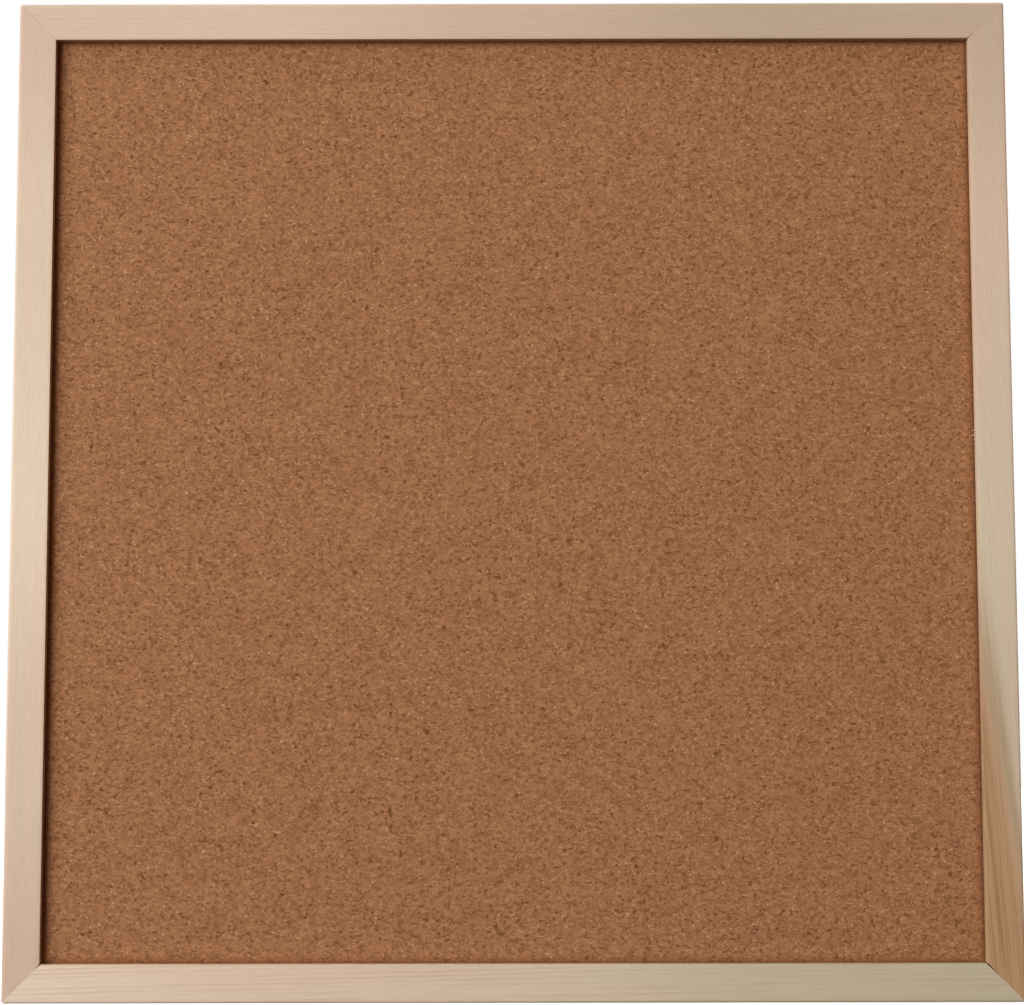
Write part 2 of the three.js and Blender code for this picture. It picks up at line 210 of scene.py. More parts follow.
class FittingSettings(bpy.types.PropertyGroup):
    """The steel and rubber fittings on the back."""

    nail_thickness: length("Nail thickness", "Thickness of a corner nail", 0.6 * MM)
    nail_clearance: length("Slot clearance", "Room around a nail or point in the pine", 0.2 * MM)
    point_bite: length("Point bite", "How deep a panel point sits in the pine", 3.5 * MM)
    point_tip: length("Point tip", "Length of a panel point's tapered tip", 2.5 * MM)
    point_rib: length("Point rib", "Height of a panel point's pressed rib", 0.3 * MM)
    strap_thickness: length("Strap thickness", "Thickness of the hanger's strip", 0.7 * MM)
    strap_step: length("Strap step", "Where the strap's upper leaf meets the lower one", 4 * MM)
    strap_lap: length("Strap lap", "Gap between the strap's two leaves", 0.1 * MM)
    strap_edge: length("Strap edge", "Rounding of the strap's edges", 0.12 * MM)
    wire: length("Wire diameter", "Diameter of the ring's wire", 1.4 * MM)
    ring_reach: length("Ring reach", "From the ring's bar to the end of its bow", 9 * MM)
    ring_bend: length("Ring bend", "Radius of the bends at the ring's bar", 1.2 * MM)
    ring_side_play: length("Ring side play", "Room between the ring and the strap's edge", 0.3 * MM)
    ring_butt_gap: length("Butt gap", "Gap between the wire's two ends", 0.4 * MM)
    seat_gap: length("Seat gap", "Gap between a fitting and what it lies on", 0.2 * MM)
    screw_shank: length("Screw shank", "Outside diameter of the screw's thread", 2 * MM)
    screw_core: length("Screw core", "Diameter at the root of the thread", 1.4 * MM)
    screw_pitch: length("Screw pitch", "Distance between turns of the thread", 0.9 * MM)
    screw_tip: length("Screw tip", "Length of the screw's tapered tip", 2.5 * MM)
    head_height: length("Head height", "Height of the screw's head", 1.4 * MM)
    cross_span: length("Cross span", "Width of the cross in the screw's head", 2.8 * MM)
    cross_width: length("Cross slot", "Width of one slot of the cross", 0.7 * MM)
    cross_depth: length("Cross depth", "Depth of the cross", 0.9 * MM)
    bumper_face: length("Bumper face", "Diameter of the bumper's face on the wall", 7 * MM)
    bumper_edge: length("Bumper edge", "Rounding of the bumper's rim", 0.6 * MM)
    zinc: colour("Zinc", "Zinc-plated steel", tone(184, 187, 190))
    zinc_shade: colour("Dull zinc", "The duller crystals of the plating", tone(158, 162, 166))
    rubber: colour("Rubber", "The wall bumpers", tone(58, 58, 58))
    rubber_bloom: colour("Rubber bloom", "The greyer skin of the rubber", tone(84, 83, 80))


class StageSettings(bpy.types.PropertyGroup):
    """The floor, the lights and the camera."""

    lens: focal_length("Lens", "Focal length on a 36 mm wide frame", 80.3)
    camera_at: position("Camera place", "Where the camera stands", (0.001, -0.9224, -0.0918))
    camera_tilt: angle("Camera tilt", "How far the camera looks up", math.radians(5.542))
    camera_turn: angle("Camera turn", "How far the camera looks to the left", math.radians(0.078))
    camera_roll: angle("Camera roll", "How far the camera leans to the right", math.radians(0.09))
    window_at: position("Window place", "Middle of the large soft light at the left", (-3.05, -3.1, 0.68))
    window_width: length("Window width", "Width of the large soft light", 3.8)
    window_height: length("Window height", "Height of the large soft light", 2.5)
    window_power: power("Window power", "Power of the large soft light", 253.0)
    window_tone: colour("Window tone", "The slightly cool light of the window", tone(248, 253, 255))
    fill_at: position("Fill light place", "Middle of the weak warm light in front", (0.6, -2.0, 0.2))
    fill_span: length("Fill light span", "Width of the weak light in front", 1.0)
    fill_power: power("Fill power", "Power of the weak light in front", 4.2)
    ceiling_at: position("Ceiling light place", "Middle of the light above the front", (-0.6, -0.55, 2.4))
    ceiling_span: length("Ceiling light span", "Width of the light above the front", 1.5)
    ceiling_power: power("Ceiling power", "Power of the light above the front", 30.0)
    rear_at: position("Rear light place", "Middle of the light behind the board", (2.8, 1.9, 1.0))
    rear_span: length("Rear light span", "Width of the light behind the board", 3.0)
    rear_power: power("Rear power", "Power of the light behind the board", 240.0)
    room_light: share("Room light", "Brightness of the light from all round", 0.04)
    room_tone: colour("Room tone", "The warm light that the room throws back", tone(255, 196, 146))
    mirrored_light: share("Mirrored light", "Brightness of the room in bright metal", 0.3)
    floor_span: length("Floor span", "Width of the floor", 6.0)
    floor_tone: colour("Floor", "The pale floor", tone(236, 235, 232))
    floor_glow: share("Floor glow", "How far the floor is lit from below", 0.95)


class PinBoardSettings(bpy.types.PropertyGroup):
    """Everything about the board that can be changed."""

    rails: PointerProperty(type=RailSettings)
    cork: PointerProperty(type=CorkSettings)
    backing: PointerProperty(type=BackingSettings)
    fittings: PointerProperty(type=FittingSettings)
    stage: PointerProperty(type=StageSettings)


# Finishes


class Finish:
    """A material under construction: a node tree that ends in one shader."""

    def __init__(self, name):
        self.material = bpy.data.materials.new(name)
        self.material.use_nodes = True
        self.tree = self.material.node_tree
        self.shader = self.tree.nodes["Principled BSDF"]

    def feed(self, socket, value):
        """Gives a socket a number, a colour or another node's output."""
        if isinstance(value, bpy.types.NodeSocket):
            self.tree.links.new(value, socket)
        else:
            socket.default_value = value

    def add(self, kind, inputs, **options):
        """A new node of a kind, with what its sockets take and how it is set."""
        node = self.tree.nodes.new(f"ShaderNode{kind}")
        for option, value in options.items():
            setattr(node, option, value)
        for socket, value in inputs.items():
            self.feed(node.inputs[socket], value)
        return node

    def place(self):
        """Where a point lies on the piece, in metres."""
        return self.add("TexCoord", {}).outputs["Object"]

    def drawn_out(self, place, centre=(0, 0, 0), turn=(0, 0, 0), stretch=(1, 1, 1)):
        """The place in a frame that is moved, turned and stretched."""
        inputs = {"Vector": place, "Location": centre, "Rotation": turn, "Scale": stretch}
        return self.add("Mapping", inputs, vector_type="TEXTURE").outputs["Vector"]

    def toward(self, place, way):
        """How far a point lies out along a way."""
        inputs = {0: place, 1: way}
        return self.add("VectorMath", inputs, operation="DOT_PRODUCT").outputs["Value"]

    def fraction_along(self, place, way, half):
        """How far along a way a point lies, from 0 to 1 between two ends."""
        inputs = {"Value": self.toward(place, way), "From Min": -half, "From Max": half}
        return self.add("MapRange", inputs).outputs["Result"]

    def furthest(self, place):
        """How far a point lies from the middle of the board, across or up, whichever is further."""
        ways = self.add("VectorMath", {0: place}, operation="ABSOLUTE").outputs["Vector"]
        parts = self.add("SeparateXYZ", {"Vector": ways}).outputs
        return self.maths("MAXIMUM", parts["X"], parts["Z"])

    def cloud(self, place, size, detail=2.0, roughness=0.5, distortion=0.0):
        """Soft noise whose lumps are about as large as the size."""
        inputs = {
            "Vector": place,
            "Scale": 1 / size,
            "Detail": detail,
            "Roughness": roughness,
            "Distortion": distortion,
        }
        return self.add("TexNoise", inputs).outputs["Fac"]

    def lots(self, place, size, channel):
        """A number drawn for each cell of a pattern whose cells are about as large as the size."""
        cells = self.add("TexVoronoi", {"Vector": place, "Scale": 1 / size}).outputs["Color"]
        return self.add("SeparateColor", {"Color": cells}).outputs[channel]

    def fade(self, value, low, high, to_low=0.0, to_high=1.0):
        """A smooth step from one value to another."""
        inputs = {"Value": value, "From Min": low, "From Max": high, "To Min": to_low, "To Max": to_high}
        return self.add("MapRange", inputs, interpolation_type="SMOOTHSTEP").outputs["Result"]

    def maths(self, operation, first, second):
        """Two values put together by an operation."""
        return self.add("Math", {0: first, 1: second}, operation=operation).outputs["Value"]

    def blend(self, amount, first, second, blend_type="MIX"):
        """Two colours mixed, with so much of the second."""
        inputs = {0: amount, 6: first, 7: second}
        return self.add("Mix", inputs, data_type="RGBA", blend_type=blend_type).outputs[2]

    def tint(self, first, cast, amount=1.0):
        """A colour multiplied by a cast, wholly or in part."""
        return self.blend(amount, first, cast, "MULTIPLY")

    def ramp(self, value, stops, interpolation="LINEAR"):
        """A colour for each value, from stops of place and colour."""
        node = self.add("ValToRGB", {"Fac": value})
        node.color_ramp.interpolation = interpolation
        elements = node.color_ramp.elements
        while len(elements) < len(stops):
            elements.new(1.0)
        for element, (place, shade) in zip(elements, stops):
            element.position = place
            element.color = shade
        return node.outputs["Color"]

    def bump(self, height, depth, strength):
        """Raises the surface where a value is high."""
        inputs = {"Height": height, "Distance": depth, "Strength": strength}
        normal = self.add("Bump", inputs).outputs["Normal"]
        self.feed(self.shader.inputs["Normal"], normal)

    def shade(self, paint, roughness, specular=0.5, metallic=0.0):
        """Ends the tree at the shader's own sockets."""
        ends = {
            "Base Color": paint,
            "Roughness": roughness,
            "Specular IOR Level": specular,
            "Metallic": metallic,
        }
        for socket, value in ends.items():
            self.feed(self.shader.inputs[socket], value)
        return self.material


# The wave texture has twenty radians to a unit at a scale of one.
WAVE_UNIT = 2 * math.pi / 20
RING_WAVER = {"Distortion": 5.0, "Detail": 2.0, "Detail Scale": 0.6}

# How much longer than wide the pine's patterns are
GRAIN_STRETCH = 16.0
FIBRE_STRETCH = 60.0
DASH_STRETCH = 9.0

# How wide they are
DRIFT_SIZE = 4 * MM
STREAK_SIZE = 3.5 * MM
FIBRE_SIZE = 0.8 * MM
PORE_SIZE = 0.6 * MM
CANAL_SIZE = 0.5 * MM
HAIR_SIZE = 0.18 * MM

# What the streaks, the fibres and the hairs do to the wood's colour, between two values of each
STREAK_CASTS = [(0.3, (1.0, 0.965, 0.955, 1)), (0.7, (0.955, 0.985, 0.955, 1))]
FIBRE_CASTS = [(0.25, grey(0.95)), (0.75, WHITE)]
HAIR_CASTS = [(0.35, (0.94, 0.93, 0.92, 1)), (0.6, grey(1.03))]

# A painted cool cast of light makes the pine a little greener and lighter towards the lower right corner,
# between these distances out.
COOL_LIGHT_WAY = RIGHT - UP
COOL_LIGHT_FROM = 90 * MM
COOL_LIGHT_FULL = 240 * MM
COOL_LIGHT_CAST = (1.0, 1.12, 1.10, 1.0)

# Painted shade: the lip's inner wall, and the arris beside it, are painted a little darker and browner.
WALL_SHADE_REACH = 0.8 * MM
WALL_SHADE_CAST = (0.92, 0.86, 0.77, 1.0)

PINE_RELIEF = 0.04 * MM


def pine_shade(rails, paleness):
    """A tone of pine: grey below nought, rosy at nought and pale above it."""
    other = rails.pale_pine if paleness > 0 else rails.grey_pine
    return Vector(rails.rosy_pine).lerp(Vector(other), abs(paleness))


def pine_finish(stick, rails):
    """Bare sanded pine: growth rings round a pith beside the rail, fine fibre and soft bands."""
    finish = Finish(f"{stick.name}_rail_pine")
    place = finish.place()

    def drawn_along(stretch, centre=(0, 0, 0)):
        scale = [stretch if part else 1.0 for part in stick.along]
        return finish.drawn_out(place, centre, (0, math.radians(stick.tilt), 0), scale)

    across, deep = stick.pith
    grown = drawn_along(GRAIN_STRETCH, rail_point(stick, 0, deep, rails.face / 2 + across))
    wave = {"Vector": grown, "Scale": WAVE_UNIT / rails.ring_spacing, **RING_WAVER}
    direction = "X" if stick.along.x else "Z"
    rings = finish.add(
        "TexWave", wave, wave_type="RINGS", rings_direction=direction, wave_profile="SAW"
    ).outputs["Fac"]
    late = finish.fade(rings, 0.3, 1.0)
    drift = finish.fade(finish.cloud(grown, DRIFT_SIZE), 0.35, 0.7)
    figure = finish.maths("MULTIPLY", late, finish.maths("MULTIPLY", drift, stick.figure))
    drawn = drawn_along(FIBRE_STRETCH)
    fibre = finish.cloud(drawn, FIBRE_SIZE, detail=4.0, roughness=0.6)
    streak = finish.cloud(drawn, STREAK_SIZE)

    along = finish.fraction_along(place, stick.along, HALF_BOARD)
    last = len(stick.paleness) - 1
    stops = [(i / last, pine_shade(rails, paleness)) for i, paleness in enumerate(stick.paleness)]
    wood = finish.blend(figure, finish.ramp(along, stops, "EASE"), rails.late_wood)
    # Painted cool cast of light, growing towards the lower right corner.
    green = finish.fade(finish.toward(place, COOL_LIGHT_WAY), COOL_LIGHT_FROM, COOL_LIGHT_FULL)
    wood = finish.tint(wood, COOL_LIGHT_CAST, green)
    # Painted shade on the lip's inner wall and its arris.
    lip_edge = rails.face - HALF_BOARD
    wall_shade = finish.fade(finish.toward(place, stick.inward), lip_edge - WALL_SHADE_REACH, lip_edge)
    wood = finish.tint(wood, WALL_SHADE_CAST, wall_shade)
    if stick.heart:
        wood = heartwood(finish, place, stick, wood, finish.cloud(drawn, PORE_SIZE), streak, rails)
    wood = finish.tint(wood, finish.ramp(streak, STREAK_CASTS))
    wood = finish.tint(wood, finish.ramp(fibre, FIBRE_CASTS))
    wood = finish.tint(wood, finish.ramp(finish.cloud(drawn, HAIR_SIZE), HAIR_CASTS))
    canals = finish.cloud(drawn_along(DASH_STRETCH), CANAL_SIZE, detail=1.0)
    wood = finish.blend(finish.fade(canals, 0.70, 0.78, 0.0, 0.35), wood, rails.late_wood)

    finish.bump(finish.maths("ADD", fibre, figure), PINE_RELIEF, strength=0.5)
    return finish.shade(wood, finish.fade(fibre, 0.2, 0.8, 0.55, 0.68), specular=0.3)


# The heartwood comes into the right rail at its inner edge and has crossed it further down.
HEART_FROM = 0.046
HEART_CROSSING = 0.105
HEART_FADE = 6 * MM
HEART_WAVER = 1.5 * MM
SEAM_REACH = 3 * MM


def heartwood(finish, place, stick, sapwood, pores, streak, rails):
    """Lays brown heartwood over the lower end of a rail, with a dull seam along its edge."""
    slope = rails.face / HEART_CROSSING
    reach = stick.along * slope + stick.inward
    edge = HEART_FROM * slope - (HALF_BOARD - rails.face)
    wave = finish.fade(streak, 0.2, 0.8, -HEART_WAVER, HEART_WAVER)
    waved = finish.maths("ADD", finish.toward(place, reach), wave)
    brown = finish.fade(waved, edge - HEART_FADE, edge + HEART_FADE)
    bunched = finish.maths("MULTIPLY", pores, finish.fade(streak, 0.3, 0.7, 0.8, 1.15))
    heart = finish.blend(finish.fade(bunched, 0.42, 0.72), rails.heart_wood, rails.heart_line)
    before = finish.fade(waved, edge - SEAM_REACH, edge, 0.0, 0.3)
    after = finish.fade(waved, edge, edge + SEAM_REACH, 1.0, 0.0)
    wood = finish.blend(brown, sapwood, heart)
    return finish.blend(finish.maths("MULTIPLY", before, after), wood, rails.heart_seam)


# How much longer than high the cork's granules and flecks lie
GRANULE_STRETCH = (1.4, 1.0, 1.0)
FLECK_STRETCH = (1.3, 1.0, 1.0)

# Far places in the noise, so that the bark and the pale crumbs don't follow the granules
BARK_PLACE = (0.3, 0, 0.7)
PALE_PLACE = (0.8, 0, 0.2)

# What the granules and the grit do to the cork's colour, between the values of each
GRANULE_CASTS = [(0.36, (0.80, 0.77, 0.74, 1)), (0.5, WHITE), (0.64, (1.15, 1.16, 1.17, 1))]
GRIT_CASTS = [(0.3, (0.80, 0.78, 0.76, 1)), (0.5, WHITE), (0.7, grey(1.18))]

PATCH_SIZE = 14 * MM
CORK_GRAIN = 0.15 * MM


def cork_finish(cork, opening):
    """Pressed cork: soft granules of many browns, pale crumbs and flecks of bark, and painted shade beside
    the lip.
    """
    finish = Finish("pressed_cork")
    place = finish.place()
    laid = finish.drawn_out(place, stretch=GRANULE_STRETCH)
    lumps = finish.cloud(laid, cork.granule, detail=4.0, roughness=0.65, distortion=0.4)
    bark_place = finish.drawn_out(place, BARK_PLACE, stretch=FLECK_STRETCH)
    bark = finish.cloud(bark_place, cork.granule, detail=3.0)
    pale_place = finish.drawn_out(place, PALE_PLACE, stretch=FLECK_STRETCH)
    light = finish.cloud(pale_place, cork.crumb, detail=1.0)
    grit = finish.cloud(laid, cork.crumb, roughness=0.6)
    specks = finish.lots(laid, cork.crumb, "Blue")

    patches = finish.fade(finish.cloud(place, PATCH_SIZE, detail=3.0), 0.4, 0.75, 0.0, 0.7)
    body = finish.blend(patches, cork.body, cork.ruddy)
    body = finish.tint(body, finish.ramp(lumps, GRANULE_CASTS))
    body = finish.tint(body, finish.ramp(grit, GRIT_CASTS))
    body = finish.blend(finish.fade(light, 0.64, 0.74, 0.0, 0.65), body, cork.pale)
    body = finish.blend(finish.fade(bark, 0.61, 0.72, 0.0, 0.8), body, cork.dark)
    body = finish.blend(finish.fade(specks, 0.93, 0.97, 0.0, 0.55), body, cork.dark)
    # Painted shade beside the lip, deepest against it and fading out over the reach.
    lip_shade_share = finish.fade(finish.furthest(place), opening - cork.painted_shade_reach, opening, 0.0, 0.5)
    body = finish.blend(lip_shade_share, body, cork.painted_lip_shade)

    finish.bump(finish.maths("SUBTRACT", lumps, bark), CORK_GRAIN, strength=0.5)
    return finish.shade(body, finish.fade(lumps, 0.3, 0.7, 0.98, 0.88), specular=0.12)


# Which way each layer of fibres lies in the softboard, in degrees, and whether it is pale
FIBRE_LAYERS = ((18, True), (-40, False), (75, True), (-72, False), (-8, True))
STRAND_STRETCH = (7.0, 1.0, 1.0)
CLUMP_SIZE = 30 * MM
CLUMP_CASTS = [(0.3, grey(0.92)), (0.7, WHITE)]
FIBRE_RELIEF = 0.12 * MM


def softboard_finish(backing):
    """Pressed wood fibre: layers of short strands, dark and pale, with a fuzzy face."""
    finish = Finish("pressed_fibre")
    place = finish.place()
    body = backing.body
    clumps = finish.cloud(place, CLUMP_SIZE, detail=3.0)
    relief = clumps
    for lie, pale in FIBRE_LAYERS:
        elsewhere = (lie, 0, 0)
        drawn = finish.drawn_out(place, elsewhere, (0, math.radians(lie), 0), STRAND_STRETCH)
        strand = finish.cloud(drawn, backing.fibre)
        fibre = backing.pale if pale else backing.dark
        body = finish.blend(finish.fade(strand, 0.5, 0.72, 0.0, 0.55), body, fibre)
        relief = finish.maths("ADD", relief, strand)
    body = finish.tint(body, finish.ramp(clumps, CLUMP_CASTS))
    finish.bump(relief, FIBRE_RELIEF, strength=0.6)
    return finish.shade(body, finish.fade(clumps, 0.3, 0.7, 0.86, 0.98), specular=0.15)


CRYSTAL_SIZE = 0.8 * MM
SMEAR_SIZE = 2 * MM
ZINC_RELIEF = 0.02 * MM


def zinc_finish(fittings):
    """Bright zinc plate: faint crystals, and a skin that is dull in places."""
    finish = Finish("zinc_plate")
    place = finish.place()
    crystals = finish.lots(place, CRYSTAL_SIZE, "Red")
    smears = finish.cloud(place, SMEAR_SIZE, detail=4.0, roughness=0.6)
    plate = finish.blend(crystals, fittings.zinc, fittings.zinc_shade)
    finish.bump(smears, ZINC_RELIEF, strength=0.4)
    return finish.shade(plate, finish.fade(smears, 0.3, 0.7, 0.26, 0.44), metallic=1.0)


BLOOM_SIZE = 1.6 * MM
RUBBER_GRAIN = 0.25 * MM
RUBBER_RELIEF = 0.03 * MM


def rubber_finish(fittings):
    """Soft dark rubber with a grey bloom."""
    finish = Finish("bumper_rubber")
    place = finish.place()
    bloom = finish.cloud(place, BLOOM_SIZE, detail=4.0, roughness=0.65)
    grain = finish.cloud(place, RUBBER_GRAIN, detail=3.0)
    surface = finish.blend(finish.fade(bloom, 0.45, 0.8), fittings.rubber, fittings.rubber_bloom)
    finish.bump(grain, RUBBER_RELIEF, strength=0.5)
    return finish.shade(surface, finish.fade(bloom, 0.3, 0.7, 0.55, 0.75), specular=0.4)


# Mesh tools


def between(start, end, steps):
    """Points on the way from a start to an end, with the start and without the end."""
    return [tuple(Vector(start).lerp(Vector(end), i / steps)) for i in range(steps)]


def arc(centre, radius, start, end, steps):
    """Points on an arc, with both of its ends; angles are in quarter turns."""
    angles = [math.pi / 2 * (start + (end - start) * i / steps) for i in range(steps + 1)]
    return [(centre[0] + radius * math.cos(a), centre[1] + radius * math.sin(a)) for a in angles]


def headings(path, closed=False):
    """The way along a path in a plane, at each of its points."""
    around = [path[-1], *path, path[0]] if closed else [path[0], *path, path[-1]]
    spots = [Vector(spot[:2]) for spot in around]
    return [(after - before).normalized() for before, after in zip(spots, spots[2:])]


def turned(middle, y, radii):
    """A ring of points round a line along Y, at even turns and so far from it."""
    step = 2 * math.pi / len(radii)
    return [
        (middle.x + radius * math.cos(i * step), y, middle.z + radius * math.sin(i * step))
        for i, radius in enumerate(radii)
    ]


def skin(rings):
    """The points and faces of a closed form that passes through rings of points."""
    size = len(rings[0])
    points = [tuple(point) for ring in rings for point in ring]
    faces = [
        (i * size + j, i * size + (j + 1) % size, (i + 1) * size + (j + 1) % size, (i + 1) * size + j)
        for i in range(len(rings) - 1)
        for j in range(size)
    ]
    last = (len(rings) - 1) * size
    faces.append(tuple(range(size)))
    faces.append(tuple(range(last, last + size)))
    return points, faces


def joined(forms):
    """Several forms as one list of points and one of faces."""
    points, faces = [], []
    for form_points, form_faces in forms:
        first = len(points)
        points.extend(form_points)
        faces.extend(tuple(first + i for i in face) for face in form_faces)
    return points, faces


def mesh_object(name, form):
    """A new object with its faces pointing out."""
    points, faces = form
    mesh = bpy.data.meshes.new(name)
    mesh.from_pydata(points, [], faces)
    shaped = bmesh.new()
    shaped.from_mesh(mesh)
    bmesh.ops.recalc_face_normals(shaped, faces=shaped.faces)
    shaped.to_mesh(mesh)
    shaped.free()
    made = bpy.data.objects.new(name, mesh)
    bpy.context.scene.collection.objects.link(made)
    return made


def combine(made, form, operation):
    """Cuts a form out of an object, or joins it on."""
    tool = mesh_object(f"{made.name}_tool", form)
    change = made.modifiers.new(operation.lower(), "BOOLEAN")
    change.operation = operation
    change.solver = "EXACT"
    change.object = tool
    evaluated = made.evaluated_get(bpy.context.evaluated_depsgraph_get())
    changed = bpy.data.meshes.new_from_object(evaluated)
    made.modifiers.clear()
    spent = [made.data, tool.data]
    made.data = changed
    bpy.data.objects.remove(tool)
    for mesh in spent:
        bpy.data.meshes.remove(mesh)


def new_piece(node, form):
    """A new object that is to stand in a node's place."""
    return mesh_object(f"finished_{node}", form)


CREASE = math.radians(35)


def finished(made, node, finish, body="board"):
    """Gives a piece its finish, and puts it in the place of its node on its body."""
    mesh = made.data
    mesh.materials.clear()
    mesh.materials.append(finish)
    mesh.polygons.foreach_set("material_index", [0] * len(mesh.polygons))
    mesh.shade_smooth()
    mesh.set_sharp_from_angle(angle=CREASE)
    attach(made, body)
    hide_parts(node)


def ripple(spot, size=1.0):
    """Smooth noise from about 0 to about 1, whose lumps are about as large as the size."""
    return 0.5 + 0.5 * noise.noise(spot / size)


def nodes_named(start):
    """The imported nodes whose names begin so."""
    return [node for node in frame["nodes"] if node.startswith(start)]


# Rails


def moulding_section(rails):
    """A rail's section as points of depth from the face and way in from the outer edge, going round."""
    outer, inner, back = rails.outer_round, rails.inner_round, rails.back_round
    face, rear, lip, depth = rails.face, rails.rear, rails.lip, rails.depth
    return [
        *arc((outer, outer), outer, 2, 3, 7),
        *between((outer, 0), (depth - back, 0), 6)[1:],
        *arc((depth - back, back), back, 3, 4, 3),
        *between((depth, back), (depth, rear - back), 5)[1:],
        *arc((depth - back, rear - back), back, 0, 1, 3),
        *between((depth - back, rear), (lip, rear), 4)[1:],
        *between((lip, rear), (lip, face), 3),
        *between((lip, face), (inner, face), 3),
        *arc((inner, face - inner), inner, 1, 2, 4),
        *between((0, face - inner), (0, outer), 9)[1:],
    ]


STATION_STEP = 5 * MM
END_STATIONS = (0, 0.2 * MM, 0.45 * MM, 0.8 * MM, 1.2 * MM, 1.8 * MM, 2.7 * MM)

# How far apart the sanding's ups and downs lie, along a rail and across it
WANDER_LENGTH = 45 * MM
WANDER_WIDTH = 6 * MM

# How far apart in the noise the four rails lie
RAIL_NOISE_STEP = 10.0

# How many times its radius a sanded corner reaches in across the face
EASE_REACH = 3

# How far each mitre has opened at its inner end, and how far along it the opening runs
MITRE_OPENINGS = {
    "top_left": (0.02 * MM, 1.0 * MM),
    "top_right": (0.30 * MM, 1.2 * MM),
    "bottom_right": (0.55 * MM, 5.0 * MM),
    "bottom_left": (0.45 * MM, 1.4 * MM),
}
MITRE_DEPTH = 6 * MM
MITRE_TIGHT = 0.004 * MM


def station_distances(half):
    """Distances from a mitre to the middle of a rail, close together at the mitre."""
    count = round(half / STATION_STEP)
    return [*END_STATIONS, *(half * i / count for i in range(1, count + 1))]


def corner_ease(distance, radius):
    """How far the sanded corner lies in from the outer edge, near a rail's end."""
    if distance >= radius:
        return 0.0
    reach = radius * (1 - math.sqrt(0.5)) + distance * math.sqrt(0.5)
    return radius - math.sqrt(radius**2 - (radius - reach) ** 2)


def mitre_pull(depth, inward, corner, rails):
    """How far a rail's end stands back from the mitre line: it gapes at the front and is tight behind."""
    width, reach = MITRE_OPENINGS[corner]
    opening = width * max(0.0, 1 - (rails.face - inward) / reach)
    gape = (rails.mitre_gap + opening) * max(0.0, 1 - depth / MITRE_DEPTH)
    return (MITRE_TIGHT + gape) / math.sqrt(2)


def rail_corners(stick):
    """The corners that a rail starts and ends at."""
    first = STICKS.index(stick)
    return CORNERS[first], CORNERS[(first + 1) % len(CORNERS)]


def rail_point(stick, along, depth, inward):
    """A point of a rail: its way along it, back from its face and in from its outer edge."""
    edge = inward - HALF_BOARD
    return stick.along * along + stick.inward * edge + Vector((0, RAIL_LOW.y + depth, 0))


def rail_form(stick, rails):
    """A rail with mitred ends, sanded a little out of true."""
    section = moulding_section(rails)
    ways = headings(section, closed=True)
    seed = RAIL_NOISE_STEP * STICKS.index(stick)
    start, end = rail_corners(stick)
    distances = station_distances(HALF_BOARD)
    near = [(-1, distance, start) for distance in distances]
    far = [(1, distance, end) for distance in reversed(distances[:-1])]
    rings = []
    for side, distance, corner in near + far:
        ease = corner_ease(distance, rails.corner_round)
        reach = side * (1 - distance / HALF_BOARD)
        ring = []
        for (depth, inward), way in zip(section, ways):
            ways_off = (seed + depth / WANDER_WIDTH, inward / WANDER_WIDTH)
            spot = Vector((reach * HALF_BOARD / WANDER_LENGTH, *ways_off))
            sanded = rails.wander * ripple(spot)
            depth -= way.y * sanded
            inward += way.x * sanded
            inward += ease * max(0.0, 1 - inward / (EASE_REACH * rails.corner_round))
            along = reach * (HALF_BOARD - inward - mitre_pull(depth, inward, corner, rails))
            ring.append(rail_point(stick, along, depth, inward))
        rings.append(ring)
    return skin(rings)


def prism(stick, outline, depths):
    """A form drawn along and in from a rail's outer edge, between two depths behind its face."""
    return skin([[rail_point(stick, along, y, inward) for along, inward in outline] for y in depths])


CUT_OVERRUN = 1 * MM
HOLE_STEPS = 24


def nail_span(low, high):
    """How far in from the board's outer edges a corner nail's bend and its tips lie."""
    ends = sorted((abs(low.x), abs(high.x)))
    return HALF_BOARD - ends[1], HALF_BOARD - ends[0]


def point_span(stick, low, high):
    """The middle of a panel point along its rail, and half its width."""
    return (low + high).dot(stick.along) / 2, abs((high - low).dot(stick.along)) / 2


def nail_slots(stick, rails, fittings):
    """Room for the corner nails at both ends of a rail."""
    grow = fittings.nail_clearance
    slots = []
    for side, corner in zip((-1, 1), rail_corners(stick)):
        for node in nodes_named(f"{corner}_corner_nail_"):
            low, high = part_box(node)
            bend, end = nail_span(low, high)
            near, tip = bend - grow, end + grow
            far = near + fittings.nail_thickness + 2 * grow
            wings = [(near, near), (tip, near), (tip, far), (far, far), (far, tip), (near, tip)]
            outline = [(side * (HALF_BOARD - along), inward) for along, inward in wings]
            depths = (low.y - RAIL_LOW.y - grow, rails.depth + CUT_OVERRUN)
            slots.append(prism(stick, outline, depths))
    return slots


def point_slots(stick, rails, fittings):
    """Room for the tips of the panel points in the rebate's wall."""
    grow = fittings.nail_clearance
    shoulder = rails.rear - fittings.point_bite + fittings.point_tip
    tip = rails.rear - fittings.point_bite - grow
    free_end = rails.face + CUT_OVERRUN
    slots = []
    for node in nodes_named(f"{stick.name}_panel_point_"):
        low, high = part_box(node)
        middle, half = point_span(stick, low, high)
        half += grow
        outline = [(-half, free_end), (half, free_end), (half, shoulder), (0, tip), (-half, shoulder)]
        placed = [(middle + along, inward) for along, inward in outline]
        slots.append(prism(stick, placed, (low.y - RAIL_LOW.y - grow, high.y - RAIL_LOW.y + grow)))
    return slots


